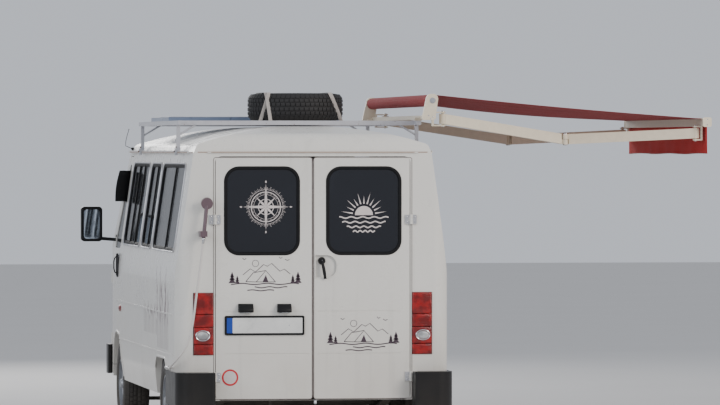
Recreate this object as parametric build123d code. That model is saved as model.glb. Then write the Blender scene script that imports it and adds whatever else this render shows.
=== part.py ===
import os
from math import pi, radians, sqrt, tan

from build123d import *

# A low-floor camper van with a roof rack, a spare wheel on it, a half-open
# side awning and an outdoor shower hose. All sizes are in millimetres.
# +X is the vehicle's left, -Y is forward and +Z is up, with the ground at 0.
# A station is a distance forward from the rear skin, so y = -station.

# Body shell
BODY_LENGTH = 4580
BODY_HALF = 940
SILL_Z = 380
GUTTER_Z = 2062
GUTTER_HALF = BODY_HALF - 121
ROOF_Z = 2247
SHOULDER_Z = 2124
SHOULDER_HALF = GUTTER_HALF - 26
CROWN_RISE = 236
CROWN_RADIUS = 2500
ROOF_REAR = (22, 2186)
WAIST_Z = 1230
WALL = 45
PANEL_GAP = 5
FIT = 0.3
REAR_POST = 200
CAB_REAR = BODY_LENGTH - 880
ROOF_FRONT = BODY_LENGTH - 650
SCREEN_TOP = (BODY_LENGTH - 580, 2050)
SCREEN_BASE = (BODY_LENGTH - 180, 1290)
NOSE_TOP = (BODY_LENGTH - 25, 955)
NOSE_BOTTOM_Z = 392
REAR_CORNER = 115
NOSE_CORNER = 230
FRONT_TAPER_START = BODY_LENGTH - 680
NOSE_HALF = BODY_HALF - 30
PLAN_SLACK = 2
RIB_Z = (680, 960)
RIB = (12, 4)
GUTTER_LIP = (24, 8, 18)

# Rear doors
REAR_DOOR_HALF = BODY_HALF - 273
REAR_DOOR_Z = (386, 2036)
REAR_SEAM = 6
REAR_GLASS = (514, 599, 100)
REAR_GLASS_CENTRE = (REAR_DOOR_HALF - 317, 1670)
REAR_HINGE_X = REAR_DOOR_HALF + 7
REAR_HINGE_OUT = 15
HINGE_Z = (540, 1611)
HINGE_SIZE = (78, 66)
CREASE_Z = (696, 984)
CREASE = (8, 2.5)
HANDLE_RECESS = (14, 165, 1212, 1370, 16)

# Cab doors, bonnet and sliding door
CAB_DOOR_FRONT = BODY_LENGTH - 218
CAB_DOOR_BOTTOM = 470
CAB_DOOR_TOP = 2034
PILLAR = 75
BONNET_HALF = 690
SLIDING_DOOR = (CAB_REAR - 1140, CAB_REAR - 50)
SLIDING_DOOR_Z = (430, 2030)

# Hinge lines as x and station, or station and height
CAB_HINGE = (BODY_HALF - 20, CAB_DOOR_FRONT + 4)
BONNET_HINGE = (BODY_LENGTH - 162, 1268)
BONNET_HINGE_X = 450
BONNET_KNUCKLE = (7, 66, 3)
CAB_HINGE_Z = (660, 1120)
CAB_KNUCKLE = (9, 84, 4)
CAB_LEAF = 14

# Tow eyes: a bored plate under each end
TOW_X = 280
TOW_T = 16
TOW_R = 13
TOW_Z = 318
TOW_EYE = 28
TOW_FRONT_S = BODY_LENGTH + 35
TOW_REAR_S = -28

# Side windows, as rear station, front station, bottom, top, corner radius
WINDOW_Z = (1390, 1985)
WINDOW_CORNER = 70
SIDE_WINDOWS = ((290, 1630), (1730, 2370), (2480, CAB_REAR - 110))
GLASS_IN = 6
GLASS = 6

# Floor and wheel housings
FLOOR_Z = 500
FLOOR = 30
BEAM = (80, 90)
BEAM_X = 430
HOUSING = 10
HOUSING_TOP = 770
ARCH_FRONT_R = 386
ARCH_REAR = (360, 640, 150)
SPRING_HALF = 430

# Wheels and axles
REAR_AXLE = 900
FRONT_AXLE = BODY_LENGTH - 730
TYRE_R = 337.5
TYRE_W = 195
RIM_R = 183
RIM_W = 176
RIM_WALL = 9
TRACK_HALF = BODY_HALF - 120
TYRE_POCKET_X = BODY_HALF - 16
KINGPIN_IN = 60
KINGPIN_ARM = 112
SPINDLE_R = 30
PIN_R = 14
PIN_FIT = 0.05

# Bumpers and lamps
BUMPER_REAR_Z = (340, 574)
BUMPER_REAR_OUT = 150
BUMPER_REAR_X = (REAR_DOOR_HALF + 17, BODY_HALF + 12)
BUMPER_REAR_FRONT = REAR_AXLE - ARCH_REAR[0] - 25
BUMPER_FRONT_Z = (392, 612)
BUMPER_FRONT_OUT = 115
BUMPER_FRONT_END = CAB_DOOR_FRONT + 16
BUMPER_IRON_X = 480
TAIL_LAMP = (142, 425, 30)
TAIL_LAMP_CENTRE = (REAR_DOOR_HALF + 84, 902)
TAIL_LAMP_PROUD = 12
HEADLAMP = (250, 172, 40)
HEADLAMP_CENTRE = (640, 800)
GRILLE = (950, 175, 30)

# Cab
DASH_REAR = BODY_LENGTH - 540
WHEEL_CENTRE = (380, DASH_REAR - 210, 1150)
WHEEL_RIM = (190, 13)
SEAT_X = 380
SEAT_REAR = CAB_REAR - 620

# Mirrors
MIRROR = (160, 75, 262)
MIRROR_CENTRE = (BODY_HALF + 158, BODY_LENGTH - 380, 1526)
MIRROR_FOOT_X = BODY_HALF - 42

# Roof rack
RACK_X = GUTTER_HALF + 16
RACK_STATIONS = (760, 1150, 1620, 2310, 3040)
RACK_TOP = 2288
RACK_TUBE = 30
RACK_OVERHANG = 120
RACK_BRACE = (135, 72, 7)
RACK_PANEL = (1250, 1120, 30)
RACK_PANEL_REAR = 1880
SPARE_X = -60
SPARE_STATION = 1330

# Awning on the right side, distances are from the centre line to the right
AWNING = (200, 2990)
CASE_PLATE = ((782, 2290, 12), (876, 2290, 18), (902, 2470, 34), (822, 2470, 34))
CASE_PLATE_T = 28
CASE_TUBE = (868, 2310, 28)
ROLL = (858, 2424, 40)
SHOULDER = (945, 300, 2298)
WRIST = (2722, 2200)
ELBOW_Z = 2158
ARM_SPREAD = 10.2
ARM = (52, 70)
ARM_OFFSET = 30
ARM_PIN_R = 10
OPEN_PIVOT = 2
EAR = 9
EAR_GAP = 6
BAR_GAP = 10
BAR_Z = 2248
FRONT_BAR = (54, 58)
BAR_CAP = 4
VALANCE_Z = 2058
VALANCE = 3
FABRIC = 6

# Shower
HANDSET_HEAD = (735, 62, 1722)
HANDSET_END = (760, 84, 1490)
HOLDER_Z = (1496, 1534)
HOSE_R = 7.5
HOSE_POINTS = (
    (760, 84, 1484),
    (770, 86, 1400),
    (782, 83, 1300),
    (795, 86, 1200),
    (809, 83, 1100),
    (822, 86, 995),
    (836, 84, 895),
    (856, 78, 800),
    (892, 66, 722),
    (938, 34, 662),
    (967, -44, 618),
    (966, -140, 598),
    (955, -240, 592),
    (953, -330, 594),
    (953, -420, 591),
)
SOCKET = (953, 422, 464, 591)
SOCKET_R = 12

nodes = {}
FORWARD = Plane(origin=(0, 0, 0), x_dir=(0, -1, 0), z_dir=(-1, 0, 0))
ACROSS = Plane.XZ
WIDE = 3000


def keep(name, shape):
    """Store one node as a compound of its solids."""
    nodes[name] = Compound(shape.solids())


def outline(plane, corners):
    """A closed face on a plane, from (across, up, corner radius) rows."""
    points = [(a, b) for a, b, _ in corners]
    wire = FilletPolyline(*points, radius=[r for _, _, r in corners], close=True)
    return plane * make_face(wire)


def span(low_x, high_x, low_s, high_s, low_z, high_z):
    """A box between two stations, two heights and two sides."""
    size = (high_x - low_x, high_s - low_s, high_z - low_z)
    middle = ((low_x + high_x) / 2, -(low_s + high_s) / 2, (low_z + high_z) / 2)
    return Pos(*middle) * Box(*size)


def side_prism(corners, low_x=-WIDE, high_x=WIDE):
    """A prism across the vehicle from a (station, height, radius) outline."""
    face = outline(FORWARD, corners)
    return Pos(low_x, 0, 0) * extrude(face, -(high_x - low_x))


def end_prism(corners, low_s, high_s):
    """A prism along the vehicle from an (x, height, radius) outline."""
    return Pos(0, -low_s, 0) * extrude(outline(ACROSS, corners), high_s - low_s)


def plan_prism(corners, low_z, high_z):
    """An upright prism from an (x, station, radius) outline."""
    flipped = [(x, -s, r) for x, s, r in corners]
    return Pos(0, 0, low_z) * extrude(outline(Plane.XY, flipped), high_z - low_z)


def rounded(low_a, high_a, low_b, high_b, radius):
    """The four corners of a rounded rectangle."""
    return (
        (low_a, low_b, radius),
        (high_a, low_b, radius),
        (high_a, high_b, radius),
        (low_a, high_b, radius),
    )


def mirrored(shape):
    return mirror(shape, about=Plane.YZ)


def rod(start, end, radius):
    """A round bar between two points given as (x, station, height)."""
    a = Vector(start[0], -start[1], start[2])
    b = Vector(end[0], -end[1], end[2])
    plane = Plane(origin=a, z_dir=(b - a))
    return plane * extrude(Circle(radius), (b - a).length)


# The outer form is where a side profile, a cross-section and a plan meet.
# side profile: station, height, corner radius
PROFILE = (
    (0, SILL_Z, 0),
    (0, GUTTER_Z + 20, 60),
    (*ROOF_REAR, 105),
    (420, ROOF_Z, 900),
    (BODY_LENGTH - 1230, ROOF_Z, 1200),
    (SCREEN_TOP[0], SCREEN_TOP[1] + 40, 90),
    (*SCREEN_BASE, 900),
    (*NOSE_TOP, 60),
    (BODY_LENGTH, NOSE_TOP[1] - 60, 60),
    (BODY_LENGTH, NOSE_BOTTOM_Z, 40),
    (CAB_DOOR_FRONT, SILL_Z, 0),
)
# cross-section, left half: x, height, corner radius
SECTION_HALF = (
    (BODY_HALF - 18, SILL_Z, 0),
    (BODY_HALF, SILL_Z + 150, 400),
    (BODY_HALF, WAIST_Z, 700),
    (GUTTER_HALF, GUTTER_Z, 0),
    (SHOULDER_HALF, SHOULDER_Z, 45),
    (0, SHOULDER_Z + CROWN_RISE, CROWN_RADIUS),
)
# plan, left half: x, station, corner radius
PLAN_HALF = (
    (BODY_HALF + PLAN_SLACK, 0, REAR_CORNER),
    (BODY_HALF + PLAN_SLACK, FRONT_TAPER_START, 1200),
    (NOSE_HALF, BODY_LENGTH, NOSE_CORNER),
)


def moved_in(corners, inset):
    """An outline with every side moved in, and its corner radii to match."""
    points = [Vector(a, b) for a, b, _ in corners]
    count = len(points)
    area = sum(points[i - 1].X * points[i].Y - points[i].X * points[i - 1].Y for i in range(count))
    turn = 1 if area > 0 else -1
    result = []
    for i, (_, _, radius) in enumerate(corners):
        before = (points[i] - points[i - 1]).normalized()
        after = (points[(i + 1) % count] - points[i]).normalized()
        bend = turn * (before.X * after.Y - before.Y * after.X)
        inward = Vector(-before.Y - after.Y, before.X + after.X) * turn
        spot = points[i] + inward * (inset / (1 + before.dot(after)))
        kept = max(radius - inset, 0) if bend > 0 else radius + inset
        result.append((spot.X, spot.Y, kept if radius else 0))
    return result


def whole_form(inset):
    """The closed body form, with every face moved in by a wall thickness."""
    right = [(-x, z, r) for x, z, r in reversed(SECTION_HALF[:-1])]
    plan_right = [(-x, s, r) for x, s, r in reversed(PLAN_HALF)]
    plan = [(x, -s, r) for x, s, r in list(PLAN_HALF) + plan_right]
    side = extrude(outline(FORWARD, moved_in(PROFILE, inset)), WIDE, both=True)
    section = extrude(outline(ACROSS, moved_in(list(SECTION_HALF) + right, inset)), 2 * WIDE)
    top = extrude(outline(Plane.XY, moved_in(plan, inset)), WIDE)
    return Pos(0, (2 * WIDE - BODY_LENGTH) / 2, 0) * section & side & top


OUTER = whole_form(0)
INNER = whole_form(WALL)
SHELL = OUTER - INNER
PANE = whole_form(GLASS_IN) - whole_form(GLASS_IN + GLASS)


def screen_line(inward):
    """The screen's two ends, moved in along the pillars."""
    run = SCREEN_BASE[0] - SCREEN_TOP[0]
    rise = SCREEN_TOP[1] - SCREEN_BASE[1]
    length = sqrt(run**2 + rise**2)
    back = inward * length / rise
    return (SCREEN_TOP[0] - back, SCREEN_TOP[1]), (SCREEN_BASE[0] - back, SCREEN_BASE[1])


def cab_door_corners(grow):
    """The cab door's outline: station, height, radius."""
    top, base = screen_line(PILLAR)
    slope = (base[0] - top[0]) / (top[1] - base[1])
    top_front = base[0] - (CAB_DOOR_TOP - base[1]) * slope
    return (
        (CAB_REAR + PANEL_GAP - grow, CAB_DOOR_BOTTOM - grow, 30),
        (CAB_DOOR_FRONT + grow, CAB_DOOR_BOTTOM - grow, 60),
        (CAB_DOOR_FRONT + grow, base[1] - 110, 160),
        (base[0] + grow, base[1], 200),
        (top_front + grow, CAB_DOOR_TOP + grow, 40),
        (CAB_REAR + PANEL_GAP - grow, CAB_DOOR_TOP + grow, 40),
    )


def cab_glass_corners():
    """The cab door's window: station, height, radius."""
    top, base = screen_line(PILLAR + 75)
    slope = (base[0] - top[0]) / (top[1] - base[1])
    low, high = 1350, CAB_DOOR_TOP - 60
    rear = CAB_REAR + 80
    return (
        (rear, low, 45),
        (base[0] - (low - base[1]) * slope, low, 60),
        (base[0] - (high - base[1]) * slope, high, 40),
        (rear, high, 45),
    )


def arch_cut(station, radius):
    """A wheel opening through both sides."""
    return Pos(0, -station, TYRE_R) * Rot(0, 90, 0) * Cylinder(radius, 2 * WIDE)


def rear_arch(grow):
    half, top, corner = ARCH_REAR
    corners = (
        (REAR_AXLE - half - grow - 30, 200, 0),
        (REAR_AXLE + half + grow + 30, 200, 0),
        (REAR_AXLE + half + grow, top + grow, corner),
        (REAR_AXLE - half - grow, top + grow, corner),
    )
    return side_prism(corners)


def side_windows(shrink, rows):
    """The window openings of one side as one list of prisms."""
    cuts = []
    for rear, front in rows:
        corners = rounded(
            rear + shrink,
            front - shrink,
            WINDOW_Z[0] + shrink,
            WINDOW_Z[1] - shrink,
            WINDOW_CORNER - shrink,
        )
        cuts.append(side_prism(corners))
    return cuts


def rear_doorway(grow):
    """The rear opening: x, height, radius."""
    low, high = REAR_DOOR_Z
    return rounded(-REAR_DOOR_HALF - grow, REAR_DOOR_HALF + grow, low - grow, high + grow, 45)


def build_shell():
    """Roof, sides, rear frame, nose and the cab and sliding doors."""
    lower = SHELL & span(-WIDE, WIDE, -10, BODY_LENGTH + 10, 0, GUTTER_Z - FIT)
    inside = BODY_HALF - WALL - 20
    lower -= span(-inside, inside, WALL, BODY_LENGTH - WALL, 0, NOSE_BOTTOM_Z + WALL + 5)
    roof = SHELL & span(-WIDE, WIDE, -10, ROOF_FRONT + 200, GUTTER_Z, 3000)
    lip_out, lip_t, lip_top = GUTTER_LIP
    outer = GUTTER_HALF + lip_out
    gutter = span(GUTTER_HALF - 12, outer, REAR_CORNER, ROOF_FRONT, GUTTER_Z, GUTTER_Z + lip_t)
    gutter += span(outer - 4, outer, REAR_CORNER, ROOF_FRONT, GUTTER_Z, GUTTER_Z + lip_top)
    rear_lip = GUTTER_HALF - REAR_CORNER + 20
    roof += span(-rear_lip, rear_lip, -lip_t, 4, GUTTER_Z, GUTTER_Z + lip_t)
    keep("roof_panel", roof + gutter + mirrored(gutter))

    wide, proud = RIB
    for height in RIB_Z:
        rib = span(
            BODY_HALF - 2, BODY_HALF + proud, REAR_POST + FIT, FRONT_TAPER_START - 30,
            height - wide / 2, height + wide / 2,
        )
        lower += rib + mirrored(rib)
    lower -= arch_cut(FRONT_AXLE, ARCH_FRONT_R) + rear_arch(0)
    rear = lower & span(-WIDE, WIDE, -10, REAR_POST, 0, GUTTER_Z)
    rear -= end_prism(rear_doorway(PANEL_GAP), -50, WALL + 1)
    side = lower & span(-WIDE, WIDE, REAR_POST + FIT, CAB_REAR, 0, GUTTER_Z)
    front = lower & span(-WIDE, WIDE, CAB_REAR + FIT, BODY_LENGTH + 10, 0, GUTTER_Z)

    for corner_x in (1, -1):
        lamp = span(
            TAIL_LAMP_CENTRE[0] - TAIL_LAMP[0] / 2 - FIT,
            TAIL_LAMP_CENTRE[0] + TAIL_LAMP[0] / 2 + FIT,
            -50,
            TAIL_LAMP[2] - TAIL_LAMP_PROUD + FIT,
            TAIL_LAMP_CENTRE[1] - TAIL_LAMP[1] / 2 - FIT,
            TAIL_LAMP_CENTRE[1] + TAIL_LAMP[1] / 2 + FIT,
        )
        rear -= lamp if corner_x > 0 else mirrored(lamp)
    for height in HINGE_Z:
        seat = hinge_half(height, True)
        rear += seat + mirrored(seat)
    keep("rear_frame", rear)

    pocket = Pos(0, -REAR_AXLE, TYRE_R) * Rot(0, 90, 0) * Cylinder(TYRE_R + 25, 2 * TYRE_POCKET_X)
    side -= pocket
    windows = side_windows(0, SIDE_WINDOWS)
    for cut in windows:
        side -= cut
    left = side & span(0, WIDE, 0, BODY_LENGTH, 0, GUTTER_Z)
    right = side & span(-WIDE, 0, 0, BODY_LENGTH, 0, GUTTER_Z)
    doorway = side_prism(
        rounded(
            SLIDING_DOOR[0] - PANEL_GAP,
            SLIDING_DOOR[1] + PANEL_GAP,
            SLIDING_DOOR_Z[0] - PANEL_GAP,
            SLIDING_DOOR_Z[1] + PANEL_GAP,
            60,
        ),
        -WIDE,
        0,
    )
    door = side_prism(
        rounded(*SLIDING_DOOR, *SLIDING_DOOR_Z, 60 - PANEL_GAP),
        -WIDE,
        0,
    )
    x, rear_s, front_s, height = SOCKET
    left += rod((x, rear_s, height), (x, front_s, height), SOCKET_R)
    left += span(BODY_HALF - 2, x, rear_s + 6, front_s, height - SOCKET_R, height + SOCKET_R)
    keep("side_panel_left", left)
    keep("sliding_door", right & door)
    keep("side_panel_right", right - doorway)

    door_cut = side_prism(cab_door_corners(PANEL_GAP))
    opening = side_prism(cab_door_corners(0))
    doors = (front & opening) - side_prism(cab_glass_corners())
    sides_only = span(BODY_HALF - 260, WIDE, 0, BODY_LENGTH, 0, GUTTER_Z)
    sides_only += mirrored(sides_only)
    nose = front - (door_cut & sides_only)
    for side_x in (1, -1):
        low_x, high_x = sorted((0, side_x * WIDE))
        door = doors & span(low_x, high_x, 0, BODY_LENGTH, 0, GUTTER_Z)
        for height in CAB_HINGE_Z:
            fixed, moving, pin, room, moving_room = cab_knuckles(side_x, height)
            nose = (nose - moving_room) + (fixed + pin)
            door = (door - room) + moving
        keep("cab_door_left" if side_x > 0 else "cab_door_right", door)
    nose -= screen_prism(0)
    nose -= bonnet_prism(PANEL_GAP)
    nose -= grille_prism(FIT)
    for side_x in (1, -1):
        nose -= headlamp_prism(side_x, FIT)
    bonnet = SHELL & bonnet_prism(0)
    for hinge_x in (-BONNET_HINGE_X, BONNET_HINGE_X):
        knuckles, middle, pin, room, middle_room = bonnet_knuckles(hinge_x)
        nose = (nose - middle_room) + (knuckles + pin)
        bonnet = (bonnet - room) + middle
    keep("front_panel", nose)
    keep("bonnet", bonnet)


def hinge_half(height, fixed):
    """One half of an outside rear hinge, on the frame or on the door."""
    wide, tall = HINGE_SIZE
    low = height - tall / 2
    third = tall / 3
    knuckle = Pos(REAR_HINGE_X, REAR_HINGE_OUT, height) * Cylinder(11, tall)
    if fixed:
        plate = span(REAR_HINGE_X + 8, REAR_HINGE_X + wide / 2, -8, 0, low, low + tall)
        web = span(REAR_HINGE_X, REAR_HINGE_X + 12, -REAR_HINGE_OUT, 0, low, low + third)
        top_web = span(REAR_HINGE_X, REAR_HINGE_X + 12, -REAR_HINGE_OUT, 0, low + 2 * third, low + tall)
        body = knuckle + plate + web + top_web
        slot = span(REAR_HINGE_X - 30, REAR_HINGE_X + 12.5, -60, 60, low + third - 1, low + 2 * third + 1)
        pin = Pos(REAR_HINGE_X, REAR_HINGE_OUT, height) * Cylinder(5, tall)
        return body - (slot & span(0, WIDE, -60, -4, 0, WIDE)) + pin
    plate = span(REAR_HINGE_X - wide / 2, REAR_HINGE_X - 12, -8, 0, low, low + tall)
    web = span(REAR_HINGE_X - 16, REAR_HINGE_X, -REAR_HINGE_OUT, -7, low + third, low + 2 * third)
    middle = span(REAR_HINGE_X - 40, REAR_HINGE_X + 40, -60, 60, low + third, low + 2 * third)
    bore = Pos(REAR_HINGE_X, REAR_HINGE_OUT, height) * Cylinder(5 + PIN_FIT, 2 * tall)
    return (knuckle & middle) + plate + web - bore


def knuckles(place, sizes):
    """A hinge about the place's Z axis: fixed knuckles, moving one, pin, and the room for each side."""
    radius, length, pin_r = sizes
    third = length / 3
    ends = Pos(0, 0, -third) * Cylinder(radius, third - 1) + Pos(0, 0, third) * Cylinder(radius, third - 1)
    end_room = Cylinder(radius + 2, third + 1)
    room = Pos(0, 0, -third) * end_room + Pos(0, 0, third) * end_room
    pin = Cylinder(pin_r, length - 4)
    middle = Cylinder(radius, third - 1)
    middle_room = Cylinder(radius + 2, third + 1)
    bore = Cylinder(pin_r + PIN_FIT, length)
    return [place * shape for shape in (ends, middle, pin, room, middle_room, bore)]


def bonnet_knuckles(x):
    """One bonnet hinge, with the webs that join its knuckles to the cowl and to the bonnet."""
    radius, length, _ = BONNET_KNUCKLE
    third = length / 3
    station, height = BONNET_HINGE
    place = Pos(x, -station, height) * Rot(0, 90, 0)
    ends, middle, pin, room, middle_room, bore = knuckles(place, BONNET_KNUCKLE)
    for low_x in (x - length / 2 + 0.5, x + third / 2 + 0.5):
        ends += span(low_x, low_x + third - 1, station - 22, station, height + 3, height + radius)
    web = span(x - third / 2 + 0.5, x + third / 2 - 0.5, station - 16, station, height - 22, height - 3)
    return ends, (middle + web) - bore, pin, room, middle_room


def cab_knuckles(side_x, height):
    """One cab door hinge, with the leaves that join its knuckles to the pillar and to the door."""
    radius, length, _ = CAB_KNUCKLE
    third = length / 3
    across, station = CAB_HINGE
    place = Pos(side_x * across, -station, height)
    ends, middle, pin, room, middle_room, bore = knuckles(place, CAB_KNUCKLE)
    low_x, high_x = sorted((side_x * (across - CAB_LEAF), side_x * across))
    for low in (height - length / 2 + 0.5, height + third / 2 + 0.5):
        ends += span(low_x, high_x, station, station + radius + 6, low, low + third - 1)
    low = height - third / 2 + 0.5
    leaf = span(low_x, high_x, station - radius - 6, station, low, low + third - 1)
    return ends, (middle + leaf) - bore, pin, room, middle_room


def screen_prism(shrink):
    """The windscreen opening, cut square to the front, with its top and base inside the frame."""
    low = SCREEN_BASE[1] + 45 + shrink
    high = SCREEN_TOP[1] - 60 - shrink
    corners = (
        (-(NOSE_HALF - 110) + shrink, low, 90 - shrink),
        (NOSE_HALF - 110 - shrink, low, 90 - shrink),
        (GUTTER_HALF - 95 - shrink, high, 80 - shrink),
        (-(GUTTER_HALF - 95) + shrink, high, 80 - shrink),
    )
    return end_prism(corners, CAB_REAR - 200, BODY_LENGTH + 50)


def bonnet_prism(grow):
    """The bonnet's outline seen from the front."""
    low = HEADLAMP_CENTRE[1] + HEADLAMP[1] / 2 + 25 - grow
    high = SCREEN_BASE[1] - 25 + grow
    corners = rounded(-BONNET_HALF - grow, BONNET_HALF + grow, low, high, 40 + grow)
    return end_prism(corners, CAB_DOOR_FRONT - 250, BODY_LENGTH + 50)


def grille_prism(grow):
    wide, tall, _ = GRILLE
    centre = HEADLAMP_CENTRE[1]
    corners = rounded(
        -wide / 2 - grow,
        wide / 2 + grow,
        centre - tall / 2 - grow,
        centre + tall / 2 + grow,
        15,
    )
    return end_prism(corners, BODY_LENGTH - 300, BODY_LENGTH + 50)


def headlamp_prism(side_x, grow):
    wide, tall, _ = HEADLAMP
    x, z = HEADLAMP_CENTRE
    corners = rounded(
        side_x * x - wide / 2 - grow,
        side_x * x + wide / 2 + grow,
        z - tall / 2 - grow,
        z + tall / 2 + grow,
        20,
    )
    return end_prism(corners, BODY_LENGTH - 400, BODY_LENGTH + 50)


def build_rear_doors():
    for side_x, name in ((1, "left"), (-1, "right")):
        half = rounded(REAR_SEAM / 2, REAR_DOOR_HALF, *REAR_DOOR_Z, 30)
        door = SHELL & end_prism(half, -50, WALL + 1)
        wide, tall, corner = REAR_GLASS
        x, z = REAR_GLASS_CENTRE
        opening = rounded(x - wide / 2, x + wide / 2, z - tall / 2, z + tall / 2, corner)
        door -= end_prism(opening, -50, WALL + 50)
        wide_crease, deep = CREASE
        for height in CREASE_Z:
            low, high = height - wide_crease / 2, height + wide_crease / 2
            door -= span(30, REAR_DOOR_HALF - 65, -5, deep, low, high)
        if side_x < 0:
            low_x, high_x, low, high, deep = HANDLE_RECESS
            recess = ((low_x, low, 12), (high_x, low, 70), (high_x, high, 70), (low_x, high, 12))
            door -= end_prism(recess, -5, deep)
        for height in HINGE_Z:
            door += hinge_half(height, False)
        pane = rounded(
            x - wide / 2 + FIT,
            x + wide / 2 - FIT,
            z - tall / 2 + FIT,
            z + tall / 2 - FIT,
            corner - FIT,
        )
        glass = PANE & end_prism(pane, -50, WALL)
        keep("rear_door_" + name, door if side_x > 0 else mirrored(door))
        keep("rear_glass_" + name, glass if side_x > 0 else mirrored(glass))


def build_glass():
    """The fixed panes of the body, and those of the cab doors."""
    panes = PANE & screen_prism(FIT)
    for cut in side_windows(FIT, SIDE_WINDOWS):
        panes += PANE & cut
    keep("body_glass", panes)
    cab = PANE & side_prism(moved_in(cab_glass_corners(), FIT))
    keep("cab_glass_left", cab & span(200, WIDE, 0, BODY_LENGTH, 0, GUTTER_Z))
    keep("cab_glass_right", cab & span(-WIDE, -200, 0, BODY_LENGTH, 0, GUTTER_Z))


def build_floor():
    """Floor sheet on long beams and cross-members, with the wheel housings."""
    inner = BODY_HALF - WALL - FIT
    floor = span(-inner, inner, WALL + 5, FRONT_AXLE + 130, FLOOR_Z - FLOOR, FLOOR_Z)
    wide, tall = BEAM
    for x in (-BEAM_X, BEAM_X):
        floor += span(
            x - wide / 2, x + wide / 2, WALL + 5, FRONT_AXLE - 110,
            FLOOR_Z - FLOOR - tall, FLOOR_Z - FLOOR + 1,
        )
    for station in (110, REAR_AXLE - SPRING_HALF, REAR_AXLE + SPRING_HALF, 2200, 2900):
        floor += span(
            -inner + 20, inner - 20, station - 30, station + 30,
            FLOOR_Z - FLOOR - 60, FLOOR_Z - FLOOR + 1,
        )
    housings = (
        (REAR_AXLE, ARCH_REAR[0] + 40, TRACK_HALF - 125),
        (FRONT_AXLE, ARCH_FRONT_R + 25, TRACK_HALF - 300),
    )
    for axle, half, inside in housings:
        top = HOUSING_TOP
        box = span(inside, inner, axle - half, axle + half, FLOOR_Z - FLOOR, top)
        hole = span(inside + HOUSING, WIDE, axle - half + HOUSING, axle + half - HOUSING, 0, top - HOUSING)
        for shape, cut in ((box, hole), (mirrored(box), mirrored(hole))):
            floor = floor + shape - cut
    low_x, high_x = TOW_X - TOW_T / 2, TOW_X + TOW_T / 2
    plate = span(low_x, high_x, TOW_REAR_S - TOW_EYE, 140, TOW_Z - TOW_EYE, TOW_Z + TOW_EYE)
    plate += span(low_x, high_x, 80, 140, TOW_Z, FLOOR_Z - FLOOR - 59)
    plate -= tow_bore(TOW_REAR_S)
    below = span(-inner + 120, inner - 120, WALL + 5, BODY_LENGTH - WALL - 5, 0, FLOOR_Z)
    keep("floor_pan", (floor & (whole_form(WALL + FIT) + below)) + plate)


def turned(half_profile):
    """A solid turned about X from one half of a symmetric (x, radius) profile."""
    other = [(-x, r) for x, r in reversed(half_profile)]
    return revolve(make_face(Polyline(*half_profile, *other, close=True)), axis=Axis.X)


def tyre_solid():
    """A tyre with a bead, a bulging sidewall and a rounded shoulder."""
    half = TYRE_W / 2
    return turned((
        (half - 12, RIM_R),
        (half - 3, RIM_R + 22),
        (half, RIM_R + 62),
        (half - 5, TYRE_R - 42),
        (half - 15, TYRE_R - 13),
        (half - 38, TYRE_R - 1),
    ))


def rim_solid():
    """A pressed steel wheel, its dish towards +X, with a ring of vents."""
    half = RIM_W / 2
    outer = RIM_R - FIT
    profile = (
        (-half, outer, 0),
        (half, outer, 0),
        (half, outer - RIM_WALL, 0),
        (62, outer - RIM_WALL, 0),
        (48, 150, 0),
        (52, 128, 0),
        (72, 100, 0),
        (58, 76, 0),
        (58, 42, 0),
        (74, 38, 0),
        (74, SPINDLE_R + PIN_FIT, 0),
        (40, SPINDLE_R + PIN_FIT, 0),
        (40, 70, 0),
        (56, 98, 0),
        (36, 128, 0),
        (34, outer - RIM_WALL - 12, 0),
        (34, outer - RIM_WALL, 0),
        (-half, outer - RIM_WALL, 0),
    )
    rim = revolve(outline(Plane.XY, profile), axis=Axis.X)
    for turn in range(12):
        vent = Rot(turn * 30, 0, 0) * Pos(45, 0, 134) * Box(60, 22, 13)
        rim -= vent
    return rim


def build_wheels():
    tyre, rim = tyre_solid(), rim_solid()
    places = (("front", FRONT_AXLE), ("rear", REAR_AXLE))
    for end, station in places:
        for side_x, side in ((1, "left"), (-1, "right")):
            for name, shape in (("tyre", tyre), ("rim", rim)):
                turned = shape if side_x > 0 else mirrored(shape)
                placed = Pos(side_x * TRACK_HALF, -station, TYRE_R) * turned
                keep(f"{name}_{end}_{side}", placed)


def knuckle_solid():
    """The left front upright with its kingpins and the wheel spindle."""
    x = TRACK_HALF - KINGPIN_IN
    reach = KINGPIN_ARM
    body = Pos(x, -FRONT_AXLE, TYRE_R) * Box(44, 62, 2 * (reach - 22))
    pins = Pos(x, -FRONT_AXLE, TYRE_R) * Cylinder(PIN_R, 2 * reach + 30)
    spindle = rod((x, FRONT_AXLE, TYRE_R), (TRACK_HALF + 78, FRONT_AXLE, TYRE_R), SPINDLE_R)
    disc = rod((x + 24, FRONT_AXLE, TYRE_R), (x + 38, FRONT_AXLE, TYRE_R), 94)
    arm = span(x - 16, x + 10, FRONT_AXLE - 120, FRONT_AXLE - 20, TYRE_R - 12, TYRE_R + 12)
    return body + pins + spindle + disc + arm


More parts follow.
